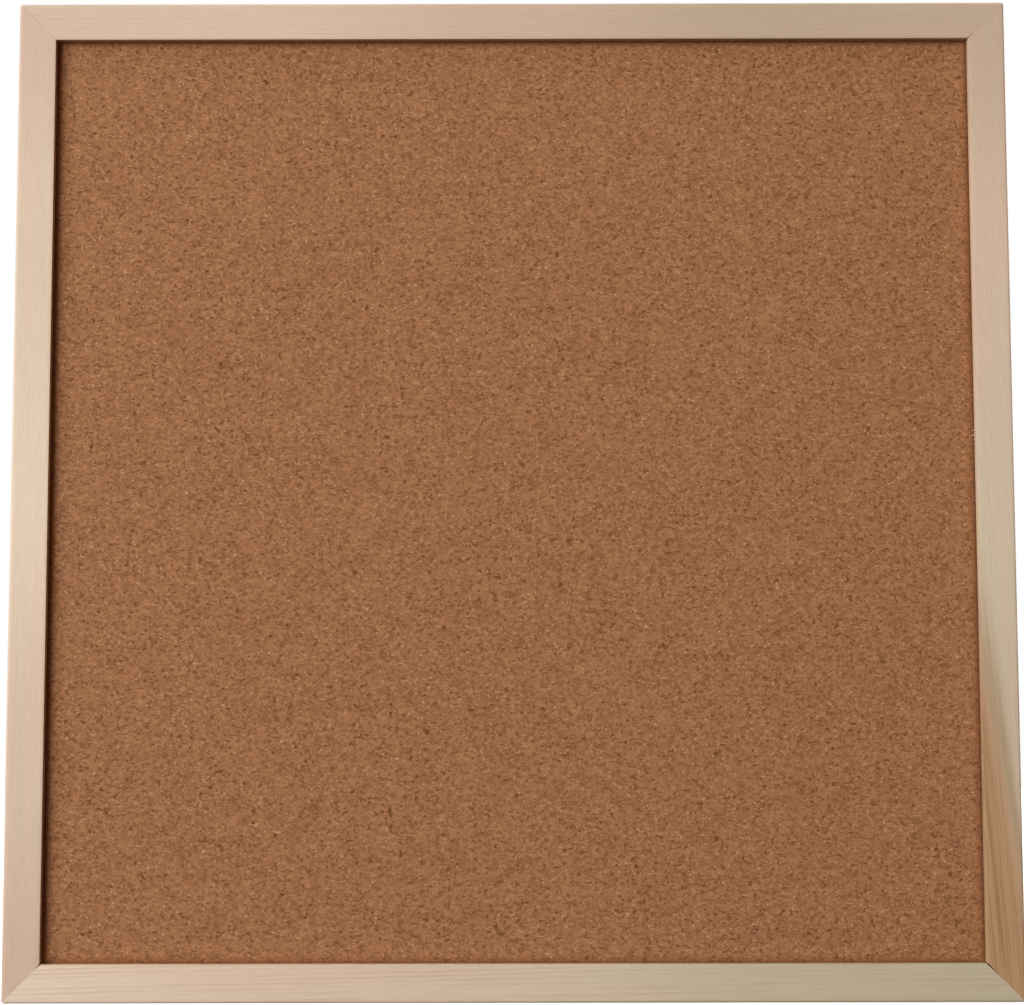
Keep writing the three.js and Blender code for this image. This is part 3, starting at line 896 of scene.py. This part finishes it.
def pilot_hole(stick, rails, fittings):
    """The hole for a hanger's screw, on the two upright rails."""
    radius = fittings.screw_shank / 2 + fittings.nail_clearance
    middle = (SCREW_LOW.z + SCREW_HIGH.z) / 2 * stick.along.z
    circle = arc((middle, rails.rear / 2), radius, 0, 4, HOLE_STEPS)[:-1]
    foot = SCREW_LOW.y - RAIL_LOW.y - fittings.nail_clearance
    return prism(stick, circle, (foot, rails.depth + CUT_OVERRUN))


# Torn fibres on the right rail's inner arris: height on the board, length and how far each leans down
SPLINTERS = (
    (25.0 * MM, 1.6 * MM, 0.3 * MM),
    (23.4 * MM, 2.2 * MM, 1.1 * MM),
    (21.6 * MM, 1.2 * MM, 0.9 * MM),
)

# A splinter's width, and where its front and its back lie behind the rail's face
SPLINTER_ROOT = (0.5 * MM, 0.4 * MM, 1.1 * MM)
SPLINTER_TIP = (0.1 * MM, 0.9 * MM, 1.0 * MM)


def splinter(stick, rails, height, reach, lean):
    """A sliver that stands off a rail's inner arris towards the cork."""
    root_along = height * stick.along.z
    root = (root_along, rails.face - SPLINTER_ROOT[0], SPLINTER_ROOT)
    tip = (root_along + lean, rails.face + reach, SPLINTER_TIP)
    rings = []
    for along, inward, (width, front, back) in (root, tip):
        corners = ((along - width / 2, front), (along + width / 2, front), (along, back))
        rings.append([rail_point(stick, a, depth, inward) for a, depth in corners])
    return skin(rings)


class PIN_BOARD_OT_rails(bpy.types.Operator):
    """Make the four mitred pine rails, with the slots for their fixings"""

    bl_idname = "pin_board.rails"
    bl_label = "Rails"

    def execute(self, context):
        rails = context.scene.pin_board.rails
        fittings = context.scene.pin_board.fittings
        for stick in STICKS:
            node = f"{stick.name}_rail"
            rail = new_piece(node, rail_form(stick, rails))
            if stick.heart:
                for torn in SPLINTERS:
                    combine(rail, splinter(stick, rails, *torn), "UNION")
            cuts = [*nail_slots(stick, rails, fittings), *point_slots(stick, rails, fittings)]
            if stick.along.z:
                cuts.append(pilot_hole(stick, rails, fittings))
            combine(rail, joined(cuts), "DIFFERENCE")
            finished(rail, node, pine_finish(stick, rails))
        return {"FINISHED"}


# Panel


def sheet_form(lines, front_y, back_y):
    """A square sheet on grid lines in both directions; two functions give the places of its faces."""
    wide = len(lines)
    points = [(x, front_y(x, z), z) for z in lines for x in lines]
    points += [(x, back_y(x, z), z) for z in lines for x in lines]
    back = wide * wide
    faces = []
    for j in range(wide - 1):
        for i in range(wide - 1):
            first = j * wide + i
            quad = (first, first + 1, first + wide + 1, first + wide)
            faces.append(quad)
            faces.append(tuple(back + k for k in reversed(quad)))
    last = wide - 1
    rim = [*range(wide)]
    rim += [j * wide + last for j in range(1, wide)]
    rim += [last * wide + i for i in range(last - 1, -1, -1)]
    rim += [j * wide for j in range(last - 1, 0, -1)]
    for first, second in zip(rim, rim[1:] + rim[:1]):
        faces.append((second, first, back + first, back + second))
    return points, faces


def grid_lines(half, step):
    """Evenly spaced lines from one edge of a sheet to the other."""
    return list(np.linspace(-half, half, round(2 * half / step) + 1))


# Extra lines where the lip has pressed the cork in, as distances inside the lip's edge
DIP_LINES = (0.1 * MM, 0.5 * MM, 1.0 * MM, 1.6 * MM, 2.4 * MM, 3.4 * MM)

# The sheet also swells slowly, over so many granules, and this share of its relief is hollows.
SWELL_GRANULES = 12
HOLLOW_SHARE = 0.7

# The softboard swells over so many steps of its grid, and its noise lies well away from the cork's.
SWELL_STEPS = 3
SOFTBOARD_PLACE = 5.0


class PIN_BOARD_OT_cork_sheet(bpy.types.Operator):
    """Make the cork sheet, with the hollows between its granules"""

    bl_idname = "pin_board.cork_sheet"
    bl_label = "Cork Sheet"

    def execute(self, context):
        cork = context.scene.pin_board.cork
        opening = HALF_BOARD - context.scene.pin_board.rails.face
        inner = opening - max(DIP_LINES)

        def face(x, z):
            spot = Vector((x, 0.0, z))
            hollow = HOLLOW_SHARE * ripple(spot, cork.granule)
            swell = (1 - HOLLOW_SHARE) * ripple(spot, SWELL_GRANULES * cork.granule)
            inside = max(0.0, opening - max(abs(x), abs(z)))
            dip = cork.edge_dip * math.exp(-inside / cork.edge_reach)
            return CORK_LOW.y + cork.relief * (hollow + swell) + dip

        def glued_side(x, z):
            return CORK_HIGH.y

        dips = [opening - inside for inside in DIP_LINES[:-1]]
        rim = [CORK_HIGH.x, opening, *dips]
        lines = sorted([-x for x in rim] + grid_lines(inner, cork.grid) + rim)
        sheet = new_piece("cork_sheet", sheet_form(lines, face, glued_side))
        finished(sheet, "cork_sheet", cork_finish(cork, opening))
        return {"FINISHED"}


class PIN_BOARD_OT_backing_board(bpy.types.Operator):
    """Make the softboard that the cork is glued to"""

    bl_idname = "pin_board.backing_board"
    bl_label = "Backing Board"

    def execute(self, context):
        backing = context.scene.pin_board.backing

        def glued_side(x, z):
            return BACKING_LOW.y

        def back(x, z):
            swell = ripple(Vector((x, SOFTBOARD_PLACE, z)), SWELL_STEPS * backing.grid)
            return BACKING_HIGH.y - backing.relief * swell

        lines = grid_lines(BACKING_HIGH.x, backing.grid)
        board = new_piece("backing_board", sheet_form(lines, glued_side, back))
        finished(board, "backing_board", softboard_finish(backing))
        return {"FINISHED"}


# Nails and points

NAIL_BEND = 0.5 * MM
NAIL_EDGE = 0.08 * MM
NAIL_POINT = 1.4 * MM
NAIL_CURL = 0.12 * MM
WING_STEPS = 8
KNEE_STEPS = 6


def nail_form(low, high, fittings):
    """A corner nail: a strip bent square, with a ground leading edge and slightly curled ends."""
    half = fittings.nail_thickness / 2
    bend, tip = nail_span(low, high)
    near = bend + half
    knee = near + NAIL_BEND
    wing = between((tip, near), (knee, near), WING_STEPS)
    knee_turn = arc((knee, knee), NAIL_BEND, 3, 2, KNEE_STEPS)
    path = wing + knee_turn + [(b, a) for a, b in reversed(wing)]
    section = [
        (-half, high.y - NAIL_EDGE),
        (NAIL_EDGE - half, high.y),
        (half - NAIL_EDGE, high.y),
        (half, high.y - NAIL_EDGE),
        (half, low.y + NAIL_POINT),
        (NAIL_EDGE / 2, low.y),
        (-NAIL_EDGE / 2, low.y),
        (-half, low.y + NAIL_POINT),
    ]
    toward_x = math.copysign(1, low.x)
    toward_z = math.copysign(1, low.z)
    rings = []
    for i, (spot, way) in enumerate(zip(path, headings(path))):
        side = Vector((-way.y, way.x))
        from_bend = abs(2 * i / (len(path) - 1) - 1)
        curl = NAIL_CURL * from_bend**4
        ring = []
        for across, depth in section:
            along, inward = Vector(spot) + side * (across + curl)
            ring.append((toward_x * (HALF_BOARD - along), depth, toward_z * (HALF_BOARD - inward)))
        rings.append(ring)
    return skin(rings)


class PIN_BOARD_OT_corner_nails(bpy.types.Operator):
    """Make the V-shaped nails that pull the mitres together"""

    bl_idname = "pin_board.corner_nails"
    bl_label = "Corner Nails"

    def execute(self, context):
        fittings = context.scene.pin_board.fittings
        zinc = zinc_finish(fittings)
        for corner in CORNERS:
            for node in nodes_named(f"{corner}_corner_nail_"):
                nail = new_piece(node, nail_form(*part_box(node), fittings))
                finished(nail, node, zinc)
        return {"FINISHED"}


POINT_CORNER = 0.8 * MM
POINT_EDGE = 0.08 * MM
POINT_NOSE = 0.15 * MM
RIB_HALF_WIDTH = 1.2 * MM
RIB_ENDS = 1.0 * MM
PLATE_LEAST = 0.02 * MM
PLATE_STEPS = 8
CORNER_STEPS = 5
STRAIGHT_STEPS = 14
TAPER_STEPS = 4


def point_form(stick, low, high, rails, fittings):
    """A panel point: a thin plate with a tapered tip and a rib pressed along its free part."""
    middle, half = point_span(stick, low, high)
    ends = sorted((low.dot(stick.inward), high.dot(stick.inward)))
    tip, free_end = (HALF_BOARD + end for end in ends)
    shoulder = tip + fittings.point_tip
    rounded = arc((free_end - POINT_CORNER, half - POINT_CORNER), POINT_CORNER, 0, 1, CORNER_STEPS)
    straight = between((free_end - POINT_CORNER, half), (shoulder, half), STRAIGHT_STEPS)[1:]
    nose = (tip, POINT_NOSE)
    tapered = [*between((shoulder, half), nose, TAPER_STEPS), nose]
    rings = []
    for inward, reach in rounded + straight + tapered:
        from_end = min(free_end - inward, inward - rails.rear)
        rise = fittings.point_rib * min(1.0, max(0.0, (from_end - RIB_ENDS) / RIB_ENDS))
        ring = []
        for across, depth in plate_section(reach, high.y - low.y):
            swell = math.cos(math.pi / 2 * min(1.0, abs(across) / RIB_HALF_WIDTH)) ** 2
            place = low.y - RAIL_LOW.y + depth + rise * swell
            ring.append(rail_point(stick, middle + across, place, inward))
        rings.append(ring)
    return skin(rings)


def plate_section(reach, thickness):
    """A thin plate's section, with its edges taken off: points across it and through it."""
    inner = max(reach - POINT_EDGE, PLATE_LEAST)
    spread = [inner * (i / PLATE_STEPS - 1) for i in range(2 * PLATE_STEPS + 1)]
    under = [(across, 0.0) for across in spread]
    over = [(across, thickness) for across in reversed(spread)]
    right = [(reach, POINT_EDGE), (reach, thickness - POINT_EDGE)]
    left = [(-across, through) for across, through in reversed(right)]
    return under + right + over + left


class PIN_BOARD_OT_panel_points(bpy.types.Operator):
    """Make the flat steel points that hold the panel in its rebate"""

    bl_idname = "pin_board.panel_points"
    bl_label = "Panel Points"

    def execute(self, context):
        rails = context.scene.pin_board.rails
        fittings = context.scene.pin_board.fittings
        zinc = zinc_finish(fittings)
        for stick in STICKS:
            for node in nodes_named(f"{stick.name}_panel_point_"):
                point = new_piece(node, point_form(stick, *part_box(node), rails, fittings))
                finished(point, node, zinc)
        return {"FINISHED"}


# Hangers

SIDES = ("left", "right")

# A square's corners, as the signs of their places
SQUARE = ((1, 1), (-1, 1), (-1, -1), (1, -1))

# How far round its half circle a strap's foot is drawn, and the steps in each part of the strap
FOOT_END = 0.96
FOOT_STEPS = 8
LEAF_STEPS = 12
LOOP_STEPS = 20
STEP_STEPS = 8
EDGE_STEPS = 3


def screw_drop():
    """How far a hanger's screw lies below its ring's bar."""
    return RING_AXES["left_ring"].z - (SCREW_LOW.z + SCREW_HIGH.z) / 2


def strap_path(fittings):
    """The strap's middle line, foot to foot round the loop: depth, height and half width."""
    thickness = fittings.strap_thickness
    under = STRAP_LOW.y + thickness / 2 - RING_AXES["left_ring"].y
    radius = -under
    over = under + thickness + fittings.strap_lap
    hole = -screw_drop()
    swing = [math.pi / 2 * FOOT_END * i / FOOT_STEPS for i in range(FOOT_STEPS + 1)]
    foot = [(hole - HALF_STRAP * math.sin(a), HALF_STRAP * math.cos(a)) for a in swing]
    path = [(under, height, width) for height, width in reversed(foot)]
    path += between((under, hole, HALF_STRAP), (under, 0, HALF_STRAP), LEAF_STEPS)[1:]
    path += [(y, z, HALF_STRAP) for y, z in arc((0, 0), radius, 2, 0, LOOP_STEPS)]
    for i in range(1, STEP_STEPS + 1):
        share_down = i / STEP_STEPS
        eased = share_down**2 * (3 - 2 * share_down)
        path.append((radius + (over - radius) * eased, -fittings.strap_step * share_down, HALF_STRAP))
    path += between((over, -fittings.strap_step, HALF_STRAP), (over, hole, HALF_STRAP), LEAF_STEPS)[1:]
    path += [(over, height, width) for height, width in foot]
    return path


def strap_form(axis, fittings):
    """A strip folded round the ring's bar, with round feet."""
    edge = fittings.strap_edge
    half_thickness = fittings.strap_thickness / 2
    path = strap_path(fittings)
    rings = []
    for (y, z, width), way in zip(path, headings(path)):
        ring = []
        for quarter, (sign, thick_sign) in enumerate(SQUARE):
            centre = (sign * (width - edge), thick_sign * (half_thickness - edge))
            for across, through in arc(centre, edge, quarter, quarter + 1, EDGE_STEPS):
                ring.append(axis + Vector((across, y - way.y * through, z + way.x * through)))
        rings.append(ring)
    return skin(rings)


class PIN_BOARD_OT_hanger_straps(bpy.types.Operator):
    """Make the straps that hold the rings"""

    bl_idname = "pin_board.hanger_straps"
    bl_label = "Hanger Straps"

    def execute(self, context):
        fittings = context.scene.pin_board.fittings
        zinc = zinc_finish(fittings)
        radius = fittings.screw_shank / 2 + fittings.nail_clearance
        for side in SIDES:
            node = f"{side}_hanger_strap"
            axis = RING_AXES[f"{side}_ring"]
            strap = new_piece(node, strap_form(axis, fittings))
            middle = axis - Vector((0, 0, screw_drop()))
            ends = (STRAP_LOW.y - CUT_OVERRUN, STRAP_HIGH.y + CUT_OVERRUN)
            hole = skin([turned(middle, y, [radius] * HOLE_STEPS) for y in ends])
            combine(strap, hole, "DIFFERENCE")
            finished(strap, node, zinc)
        return {"FINISHED"}


WIRE_SIDES = 16
BAR_STEPS = 8
BEND_STEPS = 8
SIDE_STEPS = 6
BOW_STEPS = 40

# How wide the wire's cut ends are, as a share of the wire
WIRE_END = 0.85


def ring_half(fittings):
    """Half the ring's width, to the middle of its wire."""
    return HALF_STRAP + fittings.ring_side_play + fittings.wire / 2


def ring_path(fittings):
    """The wire's middle line in the ring's own plane, from one butt end round the bow to the other."""
    half = ring_half(fittings)
    bend = fittings.ring_bend
    side = fittings.ring_reach - half
    right = [
        *between((fittings.ring_butt_gap / 2, 0), (half - bend, 0), BAR_STEPS),
        *arc((half - bend, -bend), bend, 1, 0, BEND_STEPS),
        *between((half, -bend), (half, -side), SIDE_STEPS)[1:],
    ]
    bow = arc((0, -side), half, 0, -2, BOW_STEPS)
    return right + bow + [(-x, z) for x, z in reversed(right)]


def ring_lean(fittings):
    """How far a hanging ring stands off the board, because its bow lies on the strap's edges."""
    half = ring_half(fittings)
    bow = fittings.ring_reach - half + math.sqrt(half**2 - HALF_STRAP**2)
    strap_top = STRAP_LOW.y + 2 * fittings.strap_thickness + fittings.strap_lap
    lift = strap_top + fittings.wire / 2 + fittings.seat_gap - RING_AXES["left_ring"].y
    return math.asin(lift / bow)


def ring_form(axis, fittings):
    """A wire bent into a D-shaped ring."""
    path = ring_path(fittings)
    turn = Matrix.Rotation(ring_lean(fittings), 3, "X")
    last = len(path) - 1
    rings = []
    for i, ((x, z), way) in enumerate(zip(path, headings(path))):
        radius = fittings.wire / 2 * (WIRE_END if i in (0, last) else 1.0)
        ring = []
        for across, through in arc((0, 0), radius, 0, 4, WIRE_SIDES)[:-1]:
            ring.append(axis + turn @ Vector((x - way.y * across, through, z + way.x * across)))
        rings.append(ring)
    return skin(rings)


class PIN_BOARD_OT_hanger_rings(bpy.types.Operator):
    """Make the wire rings that swing in the straps"""

    bl_idname = "pin_board.hanger_rings"
    bl_label = "Hanger Rings"

    def execute(self, context):
        fittings = context.scene.pin_board.fittings
        zinc = zinc_finish(fittings)
        for side in SIDES:
            node = f"{side}_hanger_ring"
            body = f"{side}_ring"
            ring = new_piece(node, ring_form(RING_AXES[body], fittings))
            finished(ring, node, zinc, body)
        return {"FINISHED"}


SCREW_SIDES = 28
THREAD_STEPS = 8
HEAD_STEPS = 10

# Shares: of the head's curve left flat, of its full width that the tip keeps, of the pitch in half a ridge
HEAD_FLAT = 0.12
TIP_SHARE = 0.06
RIDGE_SHARE = 0.3

# How much longer and wider than at the head's top a slot is above it, and how much less below it
SLOT_TAPER = (0.45, 0.18)


def screw_form(low, high, fittings):
    """A pan-head screw with a cut thread, its axis along Y and its head at the back."""
    middle = (low + high) / 2
    head_radius = (high.x - low.x) / 2
    head_base = high.y - fittings.head_height
    crest = fittings.screw_shank / 2
    root = fittings.screw_core / 2
    count = round((head_base - low.y) / fittings.screw_pitch * THREAD_STEPS)
    rings = []
    for i in range(count + 1):
        y = low.y + (head_base - low.y) * i / count
        taper = min(1.0, TIP_SHARE + (1 - TIP_SHARE) * (y - low.y) / fittings.screw_tip)
        fade = min(1.0, (head_base - y) / fittings.screw_pitch)
        radii = []
        for j in range(SCREW_SIDES):
            phase = ((y - low.y) / fittings.screw_pitch - j / SCREW_SIDES) % 1
            ridge = max(0.0, 1 - abs(phase - 0.5) / RIDGE_SHARE)
            radii.append(taper * (root + (crest - root) * ridge * fade))
        rings.append(turned(middle, y, radii))
    for i in range(HEAD_STEPS + 1):
        angle_up = math.pi / 2 * (1 - HEAD_FLAT) * i / HEAD_STEPS
        y = head_base + fittings.head_height * math.sin(angle_up)
        rings.append(turned(middle, y, [head_radius * math.cos(angle_up)] * SCREW_SIDES))
    return skin(rings)


def cross_slot(middle, top, span, width, depth):
    """One slot of the cross in a screw's head, narrower at its foot."""
    longer, wider = SLOT_TAPER
    rings = []
    for side in (-1, 1):
        half_span = span / 2 * (1 + side * longer)
        half_width = width / 2 * (1 + side * wider)
        y = top + side * depth
        rings.append([(middle.x + half_span * a, y, middle.z + half_width * b) for a, b in SQUARE])
    return skin(rings)


class PIN_BOARD_OT_hanger_screws(bpy.types.Operator):
    """Make the screws that hold the straps"""

    bl_idname = "pin_board.hanger_screws"
    bl_label = "Hanger Screws"

    def execute(self, context):
        fittings = context.scene.pin_board.fittings
        zinc = zinc_finish(fittings)
        for side in SIDES:
            node = f"{side}_hanger_screw"
            low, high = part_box(node)
            middle = (low + high) / 2
            screw = new_piece(node, screw_form(low, high, fittings))
            sizes = (fittings.cross_span, fittings.cross_width)
            for span, width in (sizes, sizes[::-1]):
                slot = cross_slot(middle, high.y, span, width, fittings.cross_depth)
                combine(screw, slot, "DIFFERENCE")
            finished(screw, node, zinc)
        return {"FINISHED"}


# Bumpers

BUMPER_SIDES = 48
RIM_STEPS = 6
RIM_ANGLE = math.radians(80)


def bumper_form(low, high, fittings):
    """A tapered rubber disc with a rounded rim."""
    middle = (low + high) / 2
    base = (high.x - low.x) / 2
    face = fittings.bumper_face / 2
    edge = fittings.bumper_edge
    rim = [(edge * math.sin(a), edge * math.cos(a)) for a in np.linspace(RIM_ANGLE, 0, RIM_STEPS)]
    profile = [
        (base - edge / 4, low.y),
        (base, low.y + edge / 4),
        *((face + across, high.y - edge + up) for across, up in rim),
        (face / 2, high.y),
    ]
    return skin([turned(middle, y, [radius] * BUMPER_SIDES) for radius, y in profile])


class PIN_BOARD_OT_wall_bumpers(bpy.types.Operator):
    """Make the rubber bumpers at the foot of the board"""

    bl_idname = "pin_board.wall_bumpers"
    bl_label = "Wall Bumpers"

    def execute(self, context):
        fittings = context.scene.pin_board.fittings
        rubber = rubber_finish(fittings)
        for side in SIDES:
            node = f"{side}_wall_bumper"
            bumper = new_piece(node, bumper_form(*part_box(node), fittings))
            finished(bumper, node, rubber)
        return {"FINISHED"}


# Stage

FLOOR_DROP = 0.2 * MM
FLOOR_DRIFT = 0.4
FLOOR_CASTS = [(0.3, grey(0.97)), (0.7, WHITE)]


def make_floor(stage):
    """A pale glowing floor just under the board, which throws no light or shadow on it."""
    finish = Finish("pale_floor")
    half = stage.floor_span / 2
    z = CAD_LOW.z - FLOOR_DROP
    corners = [(half * a, half * b, z) for a, b in SQUARE]
    floor = mesh_object("floor", (corners, [(0, 1, 2, 3)]))
    drift = finish.cloud(finish.place(), FLOOR_DRIFT, detail=3.0)
    paint = finish.tint(stage.floor_tone, finish.ramp(drift, FLOOR_CASTS))
    finish.feed(finish.shader.inputs["Emission Color"], paint)
    finish.feed(finish.shader.inputs["Emission Strength"], stage.floor_glow)
    floor.data.materials.append(finish.shade(paint, roughness=0.8))
    floor.visible_diffuse = False
    floor.visible_glossy = False
    floor.visible_shadow = False


def make_room_light(stage):
    """Dim warm light from all round, a white background, and a grey room for the steel to mirror."""
    world = bpy.data.worlds.new("room")
    bpy.context.scene.world = world
    world.use_nodes = True
    tree = world.node_tree
    dim = tree.nodes["Background"]
    dim.inputs["Color"].default_value = stage.room_tone
    dim.inputs["Strength"].default_value = stage.room_light
    rays = tree.nodes.new("ShaderNodeLightPath")
    shader = dim
    for ray, strength in (("Is Glossy Ray", stage.mirrored_light), ("Is Camera Ray", 1.0)):
        other = tree.nodes.new("ShaderNodeBackground")
        other.inputs["Color"].default_value = WHITE
        other.inputs["Strength"].default_value = strength
        choice = tree.nodes.new("ShaderNodeMixShader")
        tree.links.new(rays.outputs[ray], choice.inputs["Fac"])
        tree.links.new(shader.outputs[0], choice.inputs[1])
        tree.links.new(other.outputs["Background"], choice.inputs[2])
        shader = choice
    tree.links.new(shader.outputs[0], tree.nodes["World Output"].inputs["Surface"])


def make_light(name, place, size, energy, light_tone=WHITE):
    """A soft rectangular light that faces the board."""
    light = bpy.data.lights.new(name, "AREA")
    light.shape = "RECTANGLE"
    light.size, light.size_y = size
    light.energy = energy
    light.color = light_tone[:3]
    lamp = bpy.data.objects.new(name, light)
    lamp.location = place
    lamp.rotation_euler = (-Vector(place)).to_track_quat("-Z", "Y").to_euler()
    bpy.context.scene.collection.objects.link(lamp)


def make_camera(stage):
    """The camera in front of the board, a little below its middle and looking slightly up."""
    lens = bpy.data.cameras.new("camera")
    lens.lens = stage.lens
    camera = bpy.data.objects.new("camera", lens)
    turn = Matrix.Rotation(stage.camera_turn, 4, "Z")
    tilt = Matrix.Rotation(math.pi / 2 + stage.camera_tilt, 4, "X")
    lean = Matrix.Rotation(-stage.camera_roll, 4, "Z")
    camera.matrix_world = Matrix.Translation(stage.camera_at) @ turn @ tilt @ lean
    bpy.context.scene.collection.objects.link(camera)
    bpy.context.scene.camera = camera


class PIN_BOARD_OT_stage(bpy.types.Operator):
    """Set up the floor, the lights and the camera"""

    bl_idname = "pin_board.stage"
    bl_label = "Stage"

    def execute(self, context):
        stage = context.scene.pin_board.stage
        make_floor(stage)
        make_room_light(stage)
        window = (stage.window_width, stage.window_height)
        make_light("window", stage.window_at, window, stage.window_power, stage.window_tone)
        make_light("fill", stage.fill_at, [stage.fill_span] * 2, stage.fill_power, stage.room_tone)
        make_light("ceiling", stage.ceiling_at, [stage.ceiling_span] * 2, stage.ceiling_power)
        make_light("rear", stage.rear_at, [stage.rear_span] * 2, stage.rear_power)
        make_camera(stage)
        context.scene.view_settings.view_transform = "Standard"
        return {"FINISHED"}


class PIN_BOARD_PT_sidebar(bpy.types.Panel):
    """The pieces of the pin board and their settings"""

    bl_idname = "PIN_BOARD_PT_sidebar"
    bl_label = "Pin Board"
    bl_space_type = "VIEW_3D"
    bl_region_type = "UI"
    bl_category = "Pin Board"

    def draw(self, context):
        settings = context.scene.pin_board
        for operator in OPERATORS:
            self.layout.operator(operator.bl_idname)
        for name in PinBoardSettings.__annotations__:
            group = getattr(settings, name)
            box = self.layout.box()
            for key in type(group).__annotations__:
                box.prop(group, key)


SETTINGS = (
    RailSettings,
    CorkSettings,
    BackingSettings,
    FittingSettings,
    StageSettings,
    PinBoardSettings,
)
OPERATORS = (
    PIN_BOARD_OT_rails,
    PIN_BOARD_OT_cork_sheet,
    PIN_BOARD_OT_backing_board,
    PIN_BOARD_OT_corner_nails,
    PIN_BOARD_OT_panel_points,
    PIN_BOARD_OT_hanger_straps,
    PIN_BOARD_OT_hanger_rings,
    PIN_BOARD_OT_hanger_screws,
    PIN_BOARD_OT_wall_bumpers,
    PIN_BOARD_OT_stage,
)
CLASSES = (*SETTINGS, *OPERATORS, PIN_BOARD_PT_sidebar)


def register():
    for each in CLASSES:
        bpy.utils.register_class(each)
    bpy.types.Scene.pin_board = PointerProperty(type=PinBoardSettings)


def unregister():
    del bpy.types.Scene.pin_board
    for each in reversed(CLASSES):
        bpy.utils.unregister_class(each)


def main():
    """Builds the whole board."""
    register()
    bpy.ops.pin_board.rails()
    bpy.ops.pin_board.cork_sheet()
    bpy.ops.pin_board.backing_board()
    bpy.ops.pin_board.corner_nails()
    bpy.ops.pin_board.panel_points()
    bpy.ops.pin_board.hanger_straps()
    bpy.ops.pin_board.hanger_rings()
    bpy.ops.pin_board.hanger_screws()
    bpy.ops.pin_board.wall_bumpers()
    bpy.ops.pin_board.stage()


if __name__ == "__main__":
    main()
